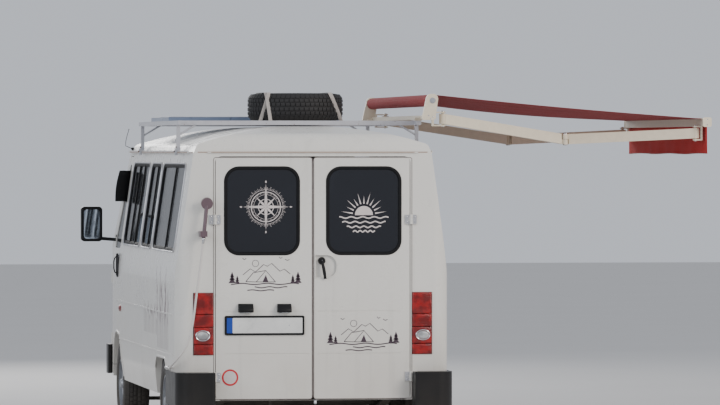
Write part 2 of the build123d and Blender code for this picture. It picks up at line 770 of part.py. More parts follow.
def build_axles():
    knuckle = knuckle_solid()
    keep("knuckle_left", knuckle)
    keep("knuckle_right", mirrored(knuckle))

    x = TRACK_HALF - KINGPIN_IN
    half = None
    for level in (-1, 1):
        z = TYRE_R + level * KINGPIN_ARM
        eye = Pos(x, -FRONT_AXLE, z) * (Cylinder(30, 30) - Cylinder(PIN_R + PIN_FIT, 60))
        arm = span(330, x - 24, FRONT_AXLE - 26, FRONT_AXLE + 26, z - 13, z + 13)
        half = eye + arm if half is None else half + eye + arm
    frame = span(-340, 340, FRONT_AXLE - 55, FRONT_AXLE + 55, TYRE_R - 135, TYRE_R - 90)
    post = span(318, 352, FRONT_AXLE - 55, FRONT_AXLE + 55, TYRE_R - 135, FLOOR_Z - FLOOR - FIT)
    nose_in = BODY_LENGTH - WALL - FIT
    rail = span(230, 330, FRONT_AXLE - 50, nose_in, TYRE_R - 90, TYRE_R - 50)
    rail += span(230, 330, nose_in - 20, nose_in, TYRE_R - 90, NOSE_BOTTOM_Z + 110)
    side = half + post + rail
    eye_high = TOW_Z + TOW_EYE
    low_x, high_x = TOW_X - TOW_T / 2, TOW_X + TOW_T / 2
    plate = span(low_x, high_x, BODY_LENGTH - 120, TOW_FRONT_S + TOW_EYE, TYRE_R - 80, eye_high)
    plate -= tow_bore(TOW_FRONT_S)
    keep("front_axle", frame + side + mirrored(side) + plate)

    spindle_end = TRACK_HALF + 78
    beam = rod((-spindle_end, REAR_AXLE, TYRE_R), (spindle_end, REAR_AXLE, TYRE_R), SPINDLE_R)
    tube_end = TRACK_HALF - 150
    beam += rod((-tube_end, REAR_AXLE, TYRE_R), (tube_end, REAR_AXLE, TYRE_R), 38)
    for side_x in (1, -1):
        beam += rod(
            (side_x * tube_end, REAR_AXLE, TYRE_R), (side_x * (TRACK_HALF + 30), REAR_AXLE, TYRE_R), 66
        )
        beam += leaf_spring(side_x * (TRACK_HALF - 245), TYRE_R - 70)
    keep("rear_axle", beam)


def tow_bore(station):
    return Pos(TOW_X, -station, TOW_Z) * Rot(0, 90, 0) * Cylinder(TOW_R, 4 * TOW_T)


def leaf_spring(x, low_z):
    """A leaf pack under the axle tube, with hangers up to the cross-members."""
    eye_z = FLOOR_Z - FLOOR - 60 - 55
    half = SPRING_HALF
    corners = (
        (REAR_AXLE - half, eye_z - 8, 0),
        (REAR_AXLE, low_z - 14, 1400),
        (REAR_AXLE + half, eye_z - 8, 0),
        (REAR_AXLE + half, eye_z + 8, 0),
        (REAR_AXLE, low_z + 6, 1400),
        (REAR_AXLE - half, eye_z + 8, 0),
    )
    leaves = side_prism(corners, x - 30, x + 30)
    short = span(x - 30, x + 30, REAR_AXLE - 150, REAR_AXLE + 150, low_z, low_z + 36)
    clamp = span(x - 36, x + 36, REAR_AXLE - 45, REAR_AXLE + 45, low_z, TYRE_R)
    spring = leaves + short + clamp
    for end in (-1, 1):
        station = REAR_AXLE + end * half
        top = FLOOR_Z - FLOOR - 60 - FIT
        hanger = span(x - 30, x + 30, station - 14, station + 14, eye_z - 12, top)
        spring += hanger
    return spring


def build_underbody():
    block = span(-255, 255, FRONT_AXLE + 140, FRONT_AXLE + 560, TYRE_R - 50 + FIT, 880)
    keep("engine_block", block)
    pipe = FilletPolyline(
        (150, -FRONT_AXLE - 90, 345),
        (150, -3300, 345),
        (120, -2500, 345),
        (120, -1580, 345),
        (BODY_HALF - 70, -1580, 340),
        radius=[400, 400, 110],
    )
    line = sweep(Plane(origin=pipe @ 0, z_dir=pipe % 0) * Circle(24), path=pipe)
    silencer = span(40, 200, 1750, 2350, 290, 400)
    tank = span(-370, -40, 2050, 2750, 270, FLOOR_Z - FLOOR - 60 - FIT)
    hang = span(110, 130, 2890, 2910, 345, FLOOR_Z - FLOOR - 60 - FIT)
    keep("exhaust", line + silencer + hang)
    keep("fuel_tank", tank)


def build_bumpers():
    low, high = BUMPER_REAR_Z
    inner, outer = BUMPER_REAR_X
    corner = plan_prism(
        (
            (inner, -BUMPER_REAR_OUT, 20),
            (outer, -BUMPER_REAR_OUT, 110),
            (outer, BUMPER_REAR_FRONT, 0),
            (BODY_HALF + FIT, BUMPER_REAR_FRONT, 0),
            (BODY_HALF + FIT, -FIT, 0),
            (inner, -FIT, 0),
        ),
        low,
        high,
    )
    notch_z = HINGE_Z[0] - HINGE_SIZE[1] / 2 - 6
    notch_x = REAR_HINGE_X + HINGE_SIZE[0] / 2 + 6
    corner -= span(0, notch_x, -REAR_HINGE_OUT - 20, WALL, notch_z, high + 10)
    low, high = BUMPER_FRONT_Z
    front = BODY_LENGTH + BUMPER_FRONT_OUT
    half = BODY_HALF + 12
    shape = plan_prism(
        (
            (-half, BUMPER_FRONT_END, 10),
            (-half, front, 190),
            (half, front, 190),
            (half, BUMPER_FRONT_END, 10),
            (half - 30, BUMPER_FRONT_END, 10),
            (half - 32, BODY_LENGTH + FIT + 8, 170),
            (-half + 32, BODY_LENGTH + FIT + 8, 170),
            (-half + 30, BUMPER_FRONT_END, 10),
        ),
        low,
        high,
    )
    for x in (-BUMPER_IRON_X, BUMPER_IRON_X):
        shape += span(x - 40, x + 40, BODY_LENGTH - 20, BODY_LENGTH + 30, low + 40, high - 50)
    keep("bumpers", corner + mirrored(corner) + (shape - whole_form(-FIT)))


def build_lamps():
    wide, tall, deep = TAIL_LAMP
    x, z = TAIL_LAMP_CENTRE
    lamp = span(
        x - wide / 2, x + wide / 2, -TAIL_LAMP_PROUD, deep - TAIL_LAMP_PROUD, z - tall / 2, z + tall / 2
    )
    lamp = fillet(lamp.edges().filter_by(Axis.Y), 8)
    keep("tail_lamps", lamp + mirrored(lamp))
    shell = whole_form(-6) - whole_form(HEADLAMP[2])
    keep("headlamps", (shell & headlamp_prism(1, 0)) + (shell & headlamp_prism(-1, 0)))
    keep("grille", (whole_form(-4) - whole_form(GRILLE[2])) & grille_prism(0))


def build_mirrors():
    wide, deep, tall = MIRROR
    x, station, z = MIRROR_CENTRE
    head = Pos(x, -station, z) * Box(wide, deep, tall)
    head = fillet(head.edges().filter_by(Axis.Y), 28)
    head = fillet(head.faces().sort_by(Axis.Y)[0].edges(), 24)
    foot_x = MIRROR_FOOT_X
    arm_z = z - tall / 2 + 20
    arm = rod((foot_x, station - 10, arm_z - 8), (x, station, arm_z + 8), 13)
    foot = span(foot_x - 5, foot_x + 14, station - 45, station + 25, arm_z - 45, arm_z + 30)
    mirror_solid = (head + arm + foot) - whole_form(-FIT)
    keep("mirror_left", mirror_solid)
    keep("mirror_right", mirrored(mirror_solid))


def build_interior():
    """Dashboard with its wheel, two cab seats, cupboards and a rear bench."""
    inner = BODY_HALF - WALL - 35
    dash = side_prism(
        (
            (DASH_REAR, 790, 20),
            (DASH_REAR + 250, 790, 20),
            (DASH_REAR + 250, 1180, 40),
            (DASH_REAR + 300, 1290, 10),
            (DASH_REAR + 360, 1290, 0),
            (DASH_REAR + 360, 1328, 0),
            (DASH_REAR + 160, 1310, 60),
            (DASH_REAR + 80, 1235, 50),
            (DASH_REAR, 1120, 50),
        ),
        -inner + 40,
        inner - 40,
    )
    dash -= span(-275, 275, DASH_REAR - 140, DASH_REAR + 460, 700, 890)
    dash = dash & whole_form(WALL + FIT)
    x, station, height = WHEEL_CENTRE
    dash += rod((x, station + 270, height - 130), WHEEL_CENTRE, 24)
    wheel_plane = Plane(origin=(x, -station, height), z_dir=(0, 270, 130))
    rim_r, rim_t = WHEEL_RIM
    wheel = Torus(rim_r, rim_t) + Cylinder(52, 26)
    for turn in (0, 120, 240):
        wheel += Rot(0, 0, turn) * Pos(rim_r / 2, 0, 0) * Box(rim_r - 10, 26, 12)
    keep("dashboard", dash + wheel_plane * wheel)

    seats = None
    rear = SEAT_REAR
    for x in (-SEAT_X, SEAT_X):
        inner_x = SEAT_X - 250 if x > 0 else -SEAT_X - 100
        base = span(inner_x, inner_x + 350, rear + 40, rear + 480, FLOOR_Z + FIT, 790)
        cushion = ((rear, 785, 20), (rear + 520, 785, 40), (rear + 530, 920, 50), (rear, 890, 30))
        back = ((rear - 70, 880, 30), (rear + 50, 880, 30), (rear - 90, 1480, 50), (rear - 190, 1470, 40))
        head = ((rear - 200, 1500, 25), (rear - 105, 1510, 30), (rear - 130, 1690, 35), (rear - 220, 1680, 30))
        cushion = side_prism(cushion, x - 245, x + 245)
        back = side_prism(back, x - 235, x + 235)
        head = side_prism(head, x - 130, x + 130)
        post = span(x - 60, x + 60, rear - 165, rear - 135, 1440, 1560)
        seat = base + cushion + back + head + post
        seats = seat if seats is None else seats + seat
    keep("cab_seats", seats)

    kitchen = span(inner - 420, inner, 1520, 2500, FLOOR_Z + FIT, 1290)
    wardrobe = span(-inner + 100, -inner + 420, 620, 1000, HOUSING_TOP + FIT, 1940)
    keep("furniture", kitchen + wardrobe)
    bench = span(-390, 640, 760, 1320, FLOOR_Z + FIT, 900)
    back = span(-390, 640, 640, 760, FLOOR_Z + FIT, 1340)
    keep("rear_bench", bench + back)


def build_rack():
    tube = RACK_TUBE / 2
    rack = None
    low = RACK_TOP - RACK_TUBE
    ends = (RACK_STATIONS[0] - RACK_OVERHANG, RACK_STATIONS[-1] + RACK_OVERHANG)
    for x in (-RACK_X, RACK_X):
        rail = span(x - tube, x + tube, *ends, low, RACK_TOP)
        rack = rail if rack is None else rack + rail
    for station in RACK_STATIONS:
        rack += span(-RACK_X, RACK_X, station - tube, station + tube, low, RACK_TOP)
    inward, drop, brace_r = RACK_BRACE
    lip_out, _, lip_top = GUTTER_LIP
    foot_z = GUTTER_Z + lip_top + FIT
    for station in (RACK_STATIONS[0], RACK_STATIONS[-1]):
        leg = span(RACK_X - 12, RACK_X + 12, station - 12, station + 12, foot_z, RACK_TOP - 5)
        leg += rod((RACK_X - inward, station, low + 8), (RACK_X, station, low - drop), brace_r)
        clamp_x = GUTTER_HALF + lip_out + FIT
        leg += span(RACK_X - 12, clamp_x + 16, station - 24, station + 24, foot_z, foot_z + 16)
        leg += span(clamp_x, clamp_x + 16, station - 24, station + 24, GUTTER_Z - 14, foot_z + 16)
        rack += leg + mirrored(leg)
    keep("roof_rack", rack)
    wide, long, thick = RACK_PANEL
    panel = span(
        RACK_X - 60 - wide, RACK_X - 60, RACK_PANEL_REAR, RACK_PANEL_REAR + long,
        RACK_TOP + FIT, RACK_TOP + thick,
    )
    keep("rack_panel", panel)
    spare = Rot(0, -90, 0) * (tyre_solid() + rim_solid())
    keep("spare_wheel", Pos(SPARE_X, -SPARE_STATION, RACK_TOP + FIT + TYRE_W / 2) * spare)


def arm_points():
    """The near arm's three pivots: shoulder, elbow and wrist, as (x, y, z)."""
    shoulder_x, station, shoulder_z = SHOULDER
    wrist_x, wrist_z = WRIST
    elbow_x = (shoulder_x + wrist_x) / 2
    offset = (wrist_x - shoulder_x) / 2 * tan(radians(ARM_SPREAD))
    return (
        Vector(-shoulder_x, -station, shoulder_z),
        Vector(-elbow_x, -station - offset, ELBOW_Z),
        Vector(-wrist_x, -station, wrist_z),
    )


def arm_link(start, end, offset_start, offset_end):
    """A straight arm section that slopes between two upright pivots."""
    wide, tall = ARM
    flat = Vector(end.X - start.X, end.Y - start.Y, 0)
    along = flat.normalized()
    aside = Vector(-along.Y, along.X, 0)
    a = start + aside * offset_start
    b = end + aside * offset_end
    run = Vector(b.X - a.X, b.Y - a.Y, 0)
    rise = end.Z - start.Z
    plane = Plane(origin=a, x_dir=run, z_dir=run.cross(Vector(0, 0, 1)))
    low, high = -tall / 2, tall / 2
    trim = wide / 2
    slope = rise / run.length
    side = Polyline(
        (trim / 3, low + slope * trim / 3),
        (run.length - trim / 3, rise - slope * trim / 3 + low),
        (run.length - trim / 3, rise - slope * trim / 3 + high),
        (trim / 3, high + slope * trim / 3),
        close=True,
    )
    return plane * extrude(make_face(side), wide / 2, both=True)


def build_arms():
    """Both folding arms. The far one mirrors the near one."""
    shoulder, elbow, wrist = arm_points()
    tall = ARM[1]
    boss_r = ARM_PIN_R + 9
    inner = arm_link(shoulder, elbow, 0, ARM_OFFSET)
    outer = arm_link(elbow, wrist, ARM_OFFSET, 0)
    half = tall / 2
    inner += Pos(*shoulder) * Cylinder(boss_r + 6, tall)
    outer += Pos(*wrist) * Cylinder(boss_r + 6, tall)
    upper = Pos(elbow.X, elbow.Y, elbow.Z + half / 2 + 1)
    lower = Pos(elbow.X, elbow.Y, elbow.Z - half / 2 - 1)
    inner -= upper * Cylinder(boss_r + 6, half + 4)
    outer -= lower * Cylinder(boss_r + 6, half + 4)
    inner += lower * Cylinder(boss_r, half - 1) + Pos(*elbow) * Cylinder(ARM_PIN_R, tall)
    outer += upper * Cylinder(boss_r, half - 1)
    outer -= Pos(*elbow) * Cylinder(ARM_PIN_R + PIN_FIT, tall * 2)
    inner -= Pos(*shoulder) * Cylinder(ARM_PIN_R + PIN_FIT, tall * 2)
    near_outer = outer - Pos(*wrist) * Cylinder(ARM_PIN_R + PIN_FIT, tall * 2)
    far_outer = outer - Pos(*wrist) * Cylinder(ARM_PIN_R + OPEN_PIVOT, tall * 2)
    keep("arm_near_inner", inner)
    keep("arm_near_outer", near_outer)
    keep("arm_far_inner", across_awning(inner))
    keep("arm_far_outer", across_awning(far_outer))


def across_awning(shape):
    """The same piece at the awning's other end."""
    middle = -(AWNING[0] + AWNING[1]) / 2
    return mirror(shape, about=Plane(origin=(0, middle, 0), z_dir=(0, 1, 0)))


def pivot_fork(pivot, reach_x):
    """Two ears and a pin about an upright pivot, with a web at reach_x."""
    ear_z = ARM[1] / 2 + EAR_GAP
    fork = Pos(*pivot) * Cylinder(ARM_PIN_R, 2 * (ear_z + EAR))
    low_x, high_x = sorted((pivot.X, reach_x))
    for level in (-1, 1):
        z = pivot.Z + level * (ear_z + EAR / 2)
        fork += Pos(pivot.X, pivot.Y, z) * Cylinder(20, EAR)
        fork += Pos((low_x + high_x) / 2, pivot.Y, z) * Box(high_x - low_x, 40, EAR)
    web_x = reach_x + (4 if reach_x > pivot.X else -4)
    fork += Pos(web_x, pivot.Y, pivot.Z) * Box(12, 40, 2 * (ear_z + EAR))
    return fork


def build_awning():
    """End plates on a tube, the cloth roll between them, the cloth and its front bar."""
    rear, front = AWNING
    tube_x, tube_z, tube_t = CASE_TUBE
    roll_x, roll_z, roll_r = ROLL
    plate = [(-x, z, r) for x, z, r in reversed(CASE_PLATE)]
    inside = (rear + CASE_PLATE_T, front - CASE_PLATE_T)
    case = end_prism(plate, rear, inside[0]) + end_prism(plate, inside[1], front)
    half = tube_t / 2
    case += span(-tube_x - half, -tube_x + half, rear + 5, front - 5, tube_z - half, tube_z + half)
    shoulder, _, wrist = arm_points()
    fork = pivot_fork(shoulder, -tube_x - half + 4)
    case += fork + across_awning(fork)
    for station in (RACK_STATIONS[0], RACK_STATIONS[-1] - 100):
        case += span(-tube_x, -RACK_X + 15, station - 25, station + 25, RACK_TOP + FIT, tube_z)
    keep("awning_case", case)
    keep("awning_roll", rod((-roll_x, inside[0] + FIT, roll_z), (-roll_x, inside[1] - FIT, roll_z), roll_r))

    wide, tall = FRONT_BAR
    bar_x = wrist.X - ARM[0] / 2 - BAR_GAP
    bar = span(bar_x - wide, bar_x, rear + 12, front - 12, BAR_Z, BAR_Z + tall)
    cap = rounded(bar_x - wide - BAR_CAP, bar_x + BAR_CAP, BAR_Z - BAR_CAP, BAR_Z + tall + BAR_CAP, 14)
    for station in (rear, front - 14):
        bar += end_prism(cap, station, station + 14)
    fork = pivot_fork(wrist, bar_x)
    keep("awning_front_bar", bar + fork + across_awning(fork))
    valance_x = bar_x - wide / 2
    keep(
        "awning_valance",
        span(valance_x - VALANCE, valance_x, rear + 20, front - 20, VALANCE_Z, BAR_Z - FIT),
    )

    start_x = -roll_x
    top_z = roll_z + roll_r + FIT
    end_z = BAR_Z + tall - BAR_CAP
    sheet = (
        (start_x, top_z, 0),
        (start_x, top_z + FABRIC, 0),
        (bar_x + FIT, end_z, 0),
        (bar_x + FIT, end_z - FABRIC, 0),
    )
    keep("awning_fabric", end_prism(sheet, rear + 35, front - 35))


def build_shower():
    """The handset in its holder on the left rear post, and its hose."""
    head_x, head_y, head_z = HANDSET_HEAD
    end_x, end_y, end_z = HANDSET_END
    handle = rod((end_x, -end_y, end_z), (head_x, -head_y, head_z), 13)
    head = Pos(head_x, head_y + 4, head_z) * Rot(78, 0, 0) * Cylinder(40, 26)
    low, high = HOLDER_Z
    holder = span(end_x - 24, end_x + 24, -end_y - 20, -FIT, low, high)
    first, second = Vector(*HOSE_POINTS[0]), Vector(*HOSE_POINTS[1])
    nut = Plane(origin=first, z_dir=first - second) * extrude(Circle(11), 22)
    keep("shower_handset", handle + head + holder + nut)

    points = [Vector(*p) for p in HOSE_POINTS]
    radii = []
    for before, point, after in zip(points, points[1:], points[2:]):
        turn = radians((point - before).get_angle(after - point))
        run = min((point - before).length, (after - point).length)
        radii.append(0.45 * run / tan(turn / 2))
    route = FilletPolyline(*points, radius=radii)
    tube = sweep(Plane(origin=route @ 0, z_dir=route % 0) * Circle(HOSE_R), path=route)
    section = pi * HOSE_R**2
    print("hose length", round(route.length, 1), "volume ratio", tube.volume / section / route.length)
    keep("shower_hose", tube)


def main():
    """Build every node and write each as a STEP file."""
    build_shell()
    build_rear_doors()
    build_glass()
    build_floor()
    build_wheels()
    build_axles()
    build_underbody()
    build_bumpers()
    build_lamps()
    build_mirrors()
    build_interior()
    build_rack()
    build_arms()
    build_awning()
    build_shower()
    solid_part = Compound([shape for name, shape in nodes.items() if name != "shower_hose"])
    box = solid_part.bounding_box()
    print("frame shift", box.center().X, box.center().Y)
    shift = Pos(-box.center().X, -box.center().Y, 0)
    os.makedirs("parts", exist_ok=True)
    for name, shape in nodes.items():
        export_step(shape.moved(shift), os.path.join("parts", name + ".step"))


if __name__ == "__main__":
    main()
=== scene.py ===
"""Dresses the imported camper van: its finishes, soft goods, trim and studio.

The file is laid out as an add-on and run as a script. Lengths are in metres.
"""

import math
from functools import partial

import bmesh
import bpy
from bpy.props import FloatProperty, FloatVectorProperty, IntProperty, PointerProperty
from mathutils import Matrix, Vector
from mathutils.bvhtree import BVHTree


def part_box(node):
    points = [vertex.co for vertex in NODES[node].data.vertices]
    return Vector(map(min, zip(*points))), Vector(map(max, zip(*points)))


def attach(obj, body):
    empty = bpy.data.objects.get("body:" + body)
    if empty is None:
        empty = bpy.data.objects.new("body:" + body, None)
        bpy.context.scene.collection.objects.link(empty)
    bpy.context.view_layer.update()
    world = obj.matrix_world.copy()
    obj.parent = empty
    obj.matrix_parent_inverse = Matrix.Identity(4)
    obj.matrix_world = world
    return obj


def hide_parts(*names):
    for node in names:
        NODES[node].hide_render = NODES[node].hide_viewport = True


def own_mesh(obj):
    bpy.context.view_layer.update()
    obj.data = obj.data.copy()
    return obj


bl_info = {
    "name": "Camper van dresser",
    "version": (1, 0, 0),
    "blender": (4, 5, 0),
    "location": "View3D > Sidebar > Camper",
    "description": "Adds finishes, soft goods and trim to the packed camper van",
    "category": "Object",
}

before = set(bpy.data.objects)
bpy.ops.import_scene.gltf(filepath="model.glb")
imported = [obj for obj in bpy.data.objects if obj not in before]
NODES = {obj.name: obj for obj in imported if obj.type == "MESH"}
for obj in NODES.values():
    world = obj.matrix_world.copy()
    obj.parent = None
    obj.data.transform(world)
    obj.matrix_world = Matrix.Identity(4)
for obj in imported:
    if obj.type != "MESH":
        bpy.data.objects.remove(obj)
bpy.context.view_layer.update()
ROOF_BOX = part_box("roof_panel")
MID_X = (ROOF_BOX[0].x + ROOF_BOX[1].x) / 2
REAR_POST = 0.2003
REAR_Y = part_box("side_panel_left")[1].y + REAR_POST

# How far trim stands off a surface, how deep the rear glass sits, and a station with no window
LIFT = 0.0003
GLASS_IN = 0.006
PILLAR = 1.68
# Where rays at the sides and the front start
FAR_OUT = 3.0
FRONT_OUT = 6.0
SIDE_NODES = {
    1: ("side_panel_left", "rear_frame", "cab_door_left", "front_panel"),
    -1: ("sliding_door", "side_panel_right", "rear_frame", "cab_door_right", "front_panel"),
}
SIDES = ((1, "left"), (-1, "right"))

# The photograph's camera
LENS = 272
SENSOR = 36
EYE = (5.159, 36.686, 2.084)
YAW = 8.5
PITCH = 0.553

# The hose's route: metres to the vehicle's left, behind the rear skin, and up
HOSE_ROUTE = (
    (0.76, 0.084, 1.484), (0.77, 0.086, 1.4), (0.782, 0.083, 1.3),
    (0.795, 0.086, 1.2), (0.809, 0.083, 1.1), (0.822, 0.086, 0.995),
    (0.836, 0.084, 0.895), (0.856, 0.078, 0.8), (0.892, 0.066, 0.722),
    (0.938, 0.034, 0.662), (0.967, -0.044, 0.618), (0.966, -0.14, 0.598),
    (0.955, -0.24, 0.592), (0.953, -0.33, 0.594), (0.953, -0.42, 0.591),
)
HOSE_DIAMETER = 0.015
# From one ring of the hose to the next, and from one rib of a lamp's lens to the next
HOSE_RINGS = 0.004
RIB_PITCH = 0.006


def spot(across, station, height):
    """A point from distances to the left, forward of the rear skin, and up."""
    return Vector((MID_X + across, REAR_Y - station, height))


def colour_property(name, description, *default):
    return FloatVectorProperty(
        name=name, description=description, default=(*default, 1.0), size=4, subtype="COLOR"
    )


class VanSizes(bpy.types.PropertyGroup):
    """Sizes that a user would change."""

    cloth_sag: FloatProperty(
        name="Cloth sag",
        description="How far the awning's cloth hangs below a straight line",
        default=0.03,
        unit="LENGTH",
    )
    lug_count: IntProperty(
        name="Tread blocks",
        description="Number of tread blocks round a tyre",
        default=60,
        min=20,
        max=120,
    )


class VanColours(bpy.types.PropertyGroup):
    """Colours that a user would change."""

    paint: colour_property("Paint", "Colour of the body paint", 0.74, 0.72, 0.67)
    # The awning is one red fabric: the canopy's colour is darkened as painted shade, and the valance's
    # is brightened as painted light shining through it
    cloth: colour_property("Awning cloth", "Colour of the awning's cloth", 0.3, 0.004, 0.008)
    valance: colour_property("Valance", "Colour of the awning's valance", 0.6, 0.012, 0.01)
    metal: colour_property(
        "Awning metal", "Colour of the awning's arms and end plates", 0.72, 0.64, 0.5
    )


def sizes():
    return bpy.context.scene.van_sizes


class Link:
    """A node's output, so that sums on it add Math nodes."""

    def __init__(self, nodes, socket):
        self.nodes = nodes
        self.socket = socket

    def maths(self, operation, *values):
        return self.nodes.node("ShaderNodeMath", dict(enumerate(values)), operation=operation)

    def __add__(self, other):
        return self.maths("ADD", self, other)

    def __sub__(self, other):
        return self.maths("SUBTRACT", self, other)

    def __rsub__(self, other):
        return self.maths("SUBTRACT", other, self)

    def __mul__(self, other):
        return self.maths("MULTIPLY", self, other)

    def __truediv__(self, other):
        return self.maths("DIVIDE", self, other)

    __radd__ = __add__
    __rmul__ = __mul__

    def clamped(self):
        return self.nodes.node("ShaderNodeClamp", {0: self})

    def sine(self):
        return self.maths("SINE", self)


class Nodes:
    """A node tree, and the one way in which nodes are added to it."""

    def __init__(self, tree):
        self.tree = tree

    def node(self, kind, sockets=None, output=0, **settings):
        """Add a node: its settings first, then the values or links of its sockets."""
        made = self.tree.nodes.new(kind)
        for key, value in settings.items():
            setattr(made, key, value)
        for key, value in (sockets or {}).items():
            if isinstance(value, Link):
                self.tree.links.new(value.socket, made.inputs[key])
            elif made.inputs[key].type == "RGBA":
                made.inputs[key].default_value = (*value[:3], 1.0)
            else:
                made.inputs[key].default_value = value
        return Link(self, made.outputs[output] if len(made.outputs) else None)


class Finish(Nodes):
    """One material and the nodes that make it."""

    def __init__(self, name):
        self.material = bpy.data.materials.new(name)
        self.material.use_nodes = True
        super().__init__(self.material.node_tree)
        self.tree.nodes.clear()

    def place(self):
        return self.node("ShaderNodeTexCoord", output="Object")

    def axes(self):
        """The three object coordinates as numbers."""
        split = self.node("ShaderNodeSeparateXYZ", {0: self.place()}).socket.node.outputs
        return [Link(self, socket) for socket in split]

    def noise(self, scale, detail=3.0, rough=0.5, stretch=None):
        where = self.place()
        if stretch:
            where = self.node("ShaderNodeMapping", {"Vector": where, "Scale": stretch})
        sockets = {"Vector": where, "Scale": scale, "Detail": detail, "Roughness": rough}
        return self.node("ShaderNodeTexNoise", sockets)

    def ramp(self, value, low, high):
        """0 below low, 1 above high, and smooth between."""
        sockets = {"Value": value, "From Min": low, "From Max": high}
        return self.node("ShaderNodeMapRange", sockets, interpolation_type="SMOOTHSTEP")

    def mix(self, factor, first, second):
        return self.node("ShaderNodeMix", {0: factor, 6: first, 7: second}, 2, data_type="RGBA")

    def bump(self, height, strength, distance):
        sockets = {"Height": height, "Strength": strength, "Distance": distance}
        return self.node("ShaderNodeBump", sockets)

    def surface(self, **sockets):
        """Set the shader's sockets, named in words, and return the material."""
        names = {key.replace("_", " "): value for key, value in sockets.items()}
        shader = self.node("ShaderNodeBsdfPrincipled", names)
        self.node("ShaderNodeOutputMaterial", {"Surface": shader})
        return self.material


def shade(colour, factor):
    """The same colour, lighter or darker."""
    return [min(c * factor, 1.0) for c in colour[:3]]


def paint_finish(name, colour):
    """Aged gloss paint: orange peel, road dust low down and faint streaks."""
    f = Finish(name)
    low = 1 - f.ramp(f.axes()[2], 0.25, 1.15)
    grime = f.noise(3.0, 5.0, 0.6)
    streaks = f.noise(1.0, 4.0, 0.55, stretch=(14.0, 14.0, 0.6))
    mottled = f.mix(f.noise(1.4, 4.0), shade(colour, 0.93), shade(colour, 1.03))
    streaked = f.mix(f.ramp(streaks, 0.56, 0.74) * 0.28, mottled, shade(colour, 0.72))
    return f.surface(
        Base_Color=f.mix((low * grime * 0.5).clamped(), streaked, (0.42, 0.34, 0.26)),
        Roughness=0.26 + f.ramp(grime, 0.4, 0.8) * 0.16 + low * 0.12,
        Normal=f.bump(f.noise(190.0, 2.0), 0.06, 0.001),
        Coat_Weight=0.35,
        Coat_Roughness=0.12,
    )


def plastic_finish(name, colour, rough=0.45, grain=900.0, strength=0.2, dust=0.0, gloss=0.5):
    """Moulded plastic or rubber with a fine grain and a dull bloom."""
    f = Finish(name)
    bloom = f.noise(9.0, 4.0)
    toned = f.mix(bloom, shade(colour, 0.82), shade(colour, 1.2))
    if dust:
        low = 1 - f.ramp(f.axes()[2], 0.1, 0.9)
        toned = f.mix((low * f.noise(5.0, 5.0) * dust).clamped(), toned, (0.36, 0.3, 0.23))
    return f.surface(
        Base_Color=toned,
        Roughness=rough + (bloom - 0.5) * 0.18,
        Normal=f.bump(f.noise(grain, 2.0), strength, 0.0006),
        Specular_IOR_Level=gloss,
    )


def metal_finish(name, colour, rough=0.35, metallic=1.0, chips=None, brushed=(1.0, 1.0, 1.0)):
    """Metal or painted metal, with brushing or chips where they're asked for."""
    f = Finish(name)
    wear = f.noise(22.0, 5.0, 0.6)
    toned = f.mix(wear, shade(colour, 0.86), shade(colour, 1.1))
    if chips:
        toned = f.mix(f.ramp(f.noise(60.0, 5.0, 0.65), 0.66, 0.7), toned, chips)
    return f.surface(
        Base_Color=toned,
        Metallic=metallic,
        Roughness=rough + (wear - 0.5) * 0.2,
        Normal=f.bump(f.noise(260.0, 2.0, 0.5, stretch=brushed), 0.08, 0.0005),
    )


def rusty_finish(name, colour):
    """Bare steel under the vehicle, browned and dusty."""
    f = Finish(name)
    patches = f.ramp(f.noise(13.0, 6.0, 0.65), 0.42, 0.62)
    return f.surface(
        Base_Color=f.mix(patches, colour, (0.17, 0.075, 0.035)),
        Metallic=(1 - patches) * 0.7,
        Roughness=0.45 + patches * 0.4,
        Normal=f.bump(f.noise(120.0, 4.0), 0.35, 0.001),
    )


def glass_finish(name, colour, alpha, rough, gloss):
    """Window glass with a faint film of dust."""
    f = Finish(name)
    film = f.ramp(f.noise(2.5, 5.0, 0.6), 0.5, 0.9)
    return f.surface(
        Base_Color=f.mix(film, colour, shade(colour, 1.8)),
        Roughness=rough + film * 0.08,
        Alpha=(film * 0.06 + alpha).clamped(),
        IOR=1.5,
        Specular_IOR_Level=gloss,
    )


def lens_finish(name, colour):
    """A moulded lamp lens: ribs and prisms under a glossy face, with painted shade in the prisms'
    hollows and painted highlights in patches.
    """
    f = Finish(name)
    x, y, z = f.axes()
    turns = 2 * math.pi / RIB_PITCH
    pattern = (z * turns).sine() * ((x + y) * turns).sine()
    # Painted highlights: lighter patches from noise. Painted shade: the prism pattern's hollows are
    # darkened.
    painted_highlight_mask = f.ramp(f.noise(17.0, 2.0), 0.38, 0.66)
    lens_tone_with_painted_highlights = f.mix(painted_highlight_mask, shade(colour, 0.45), shade(colour, 1.5))
    return f.surface(
        Base_Color=f.mix(f.ramp(pattern, -0.6, 0.8), shade(colour, 0.35), lens_tone_with_painted_highlights),
        Roughness=0.08 + f.noise(12.0, 3.0) * 0.06,
        Normal=f.bump(pattern, 0.25, 0.0012),
        Coat_Weight=0.35,
        Coat_Roughness=0.05,
    )


def cloth_finish(name, colour, pitch, depth, along, sheen=0.25):
    """Woven cloth: two crossed sets of threads, faded in patches."""
    f = Finish(name)
    axes = dict(zip("xyz", f.axes()))
    turns = 2 * math.pi / pitch
    weave = (axes[along[0]] * turns).sine() * (axes[along[1]] * turns).sine()
    faded = f.mix(f.noise(4.0, 5.0, 0.6), shade(colour, 0.78), shade(colour, 1.18))
    return f.surface(
        Base_Color=f.mix(f.ramp(weave, -1.0, 1.0) * 0.35, faded, shade(colour, 0.55)),
        Roughness=0.86,
        Normal=f.bump(weave, depth, 0.0006),
        Sheen_Weight=sheen,
        Sheen_Roughness=0.5,
    )


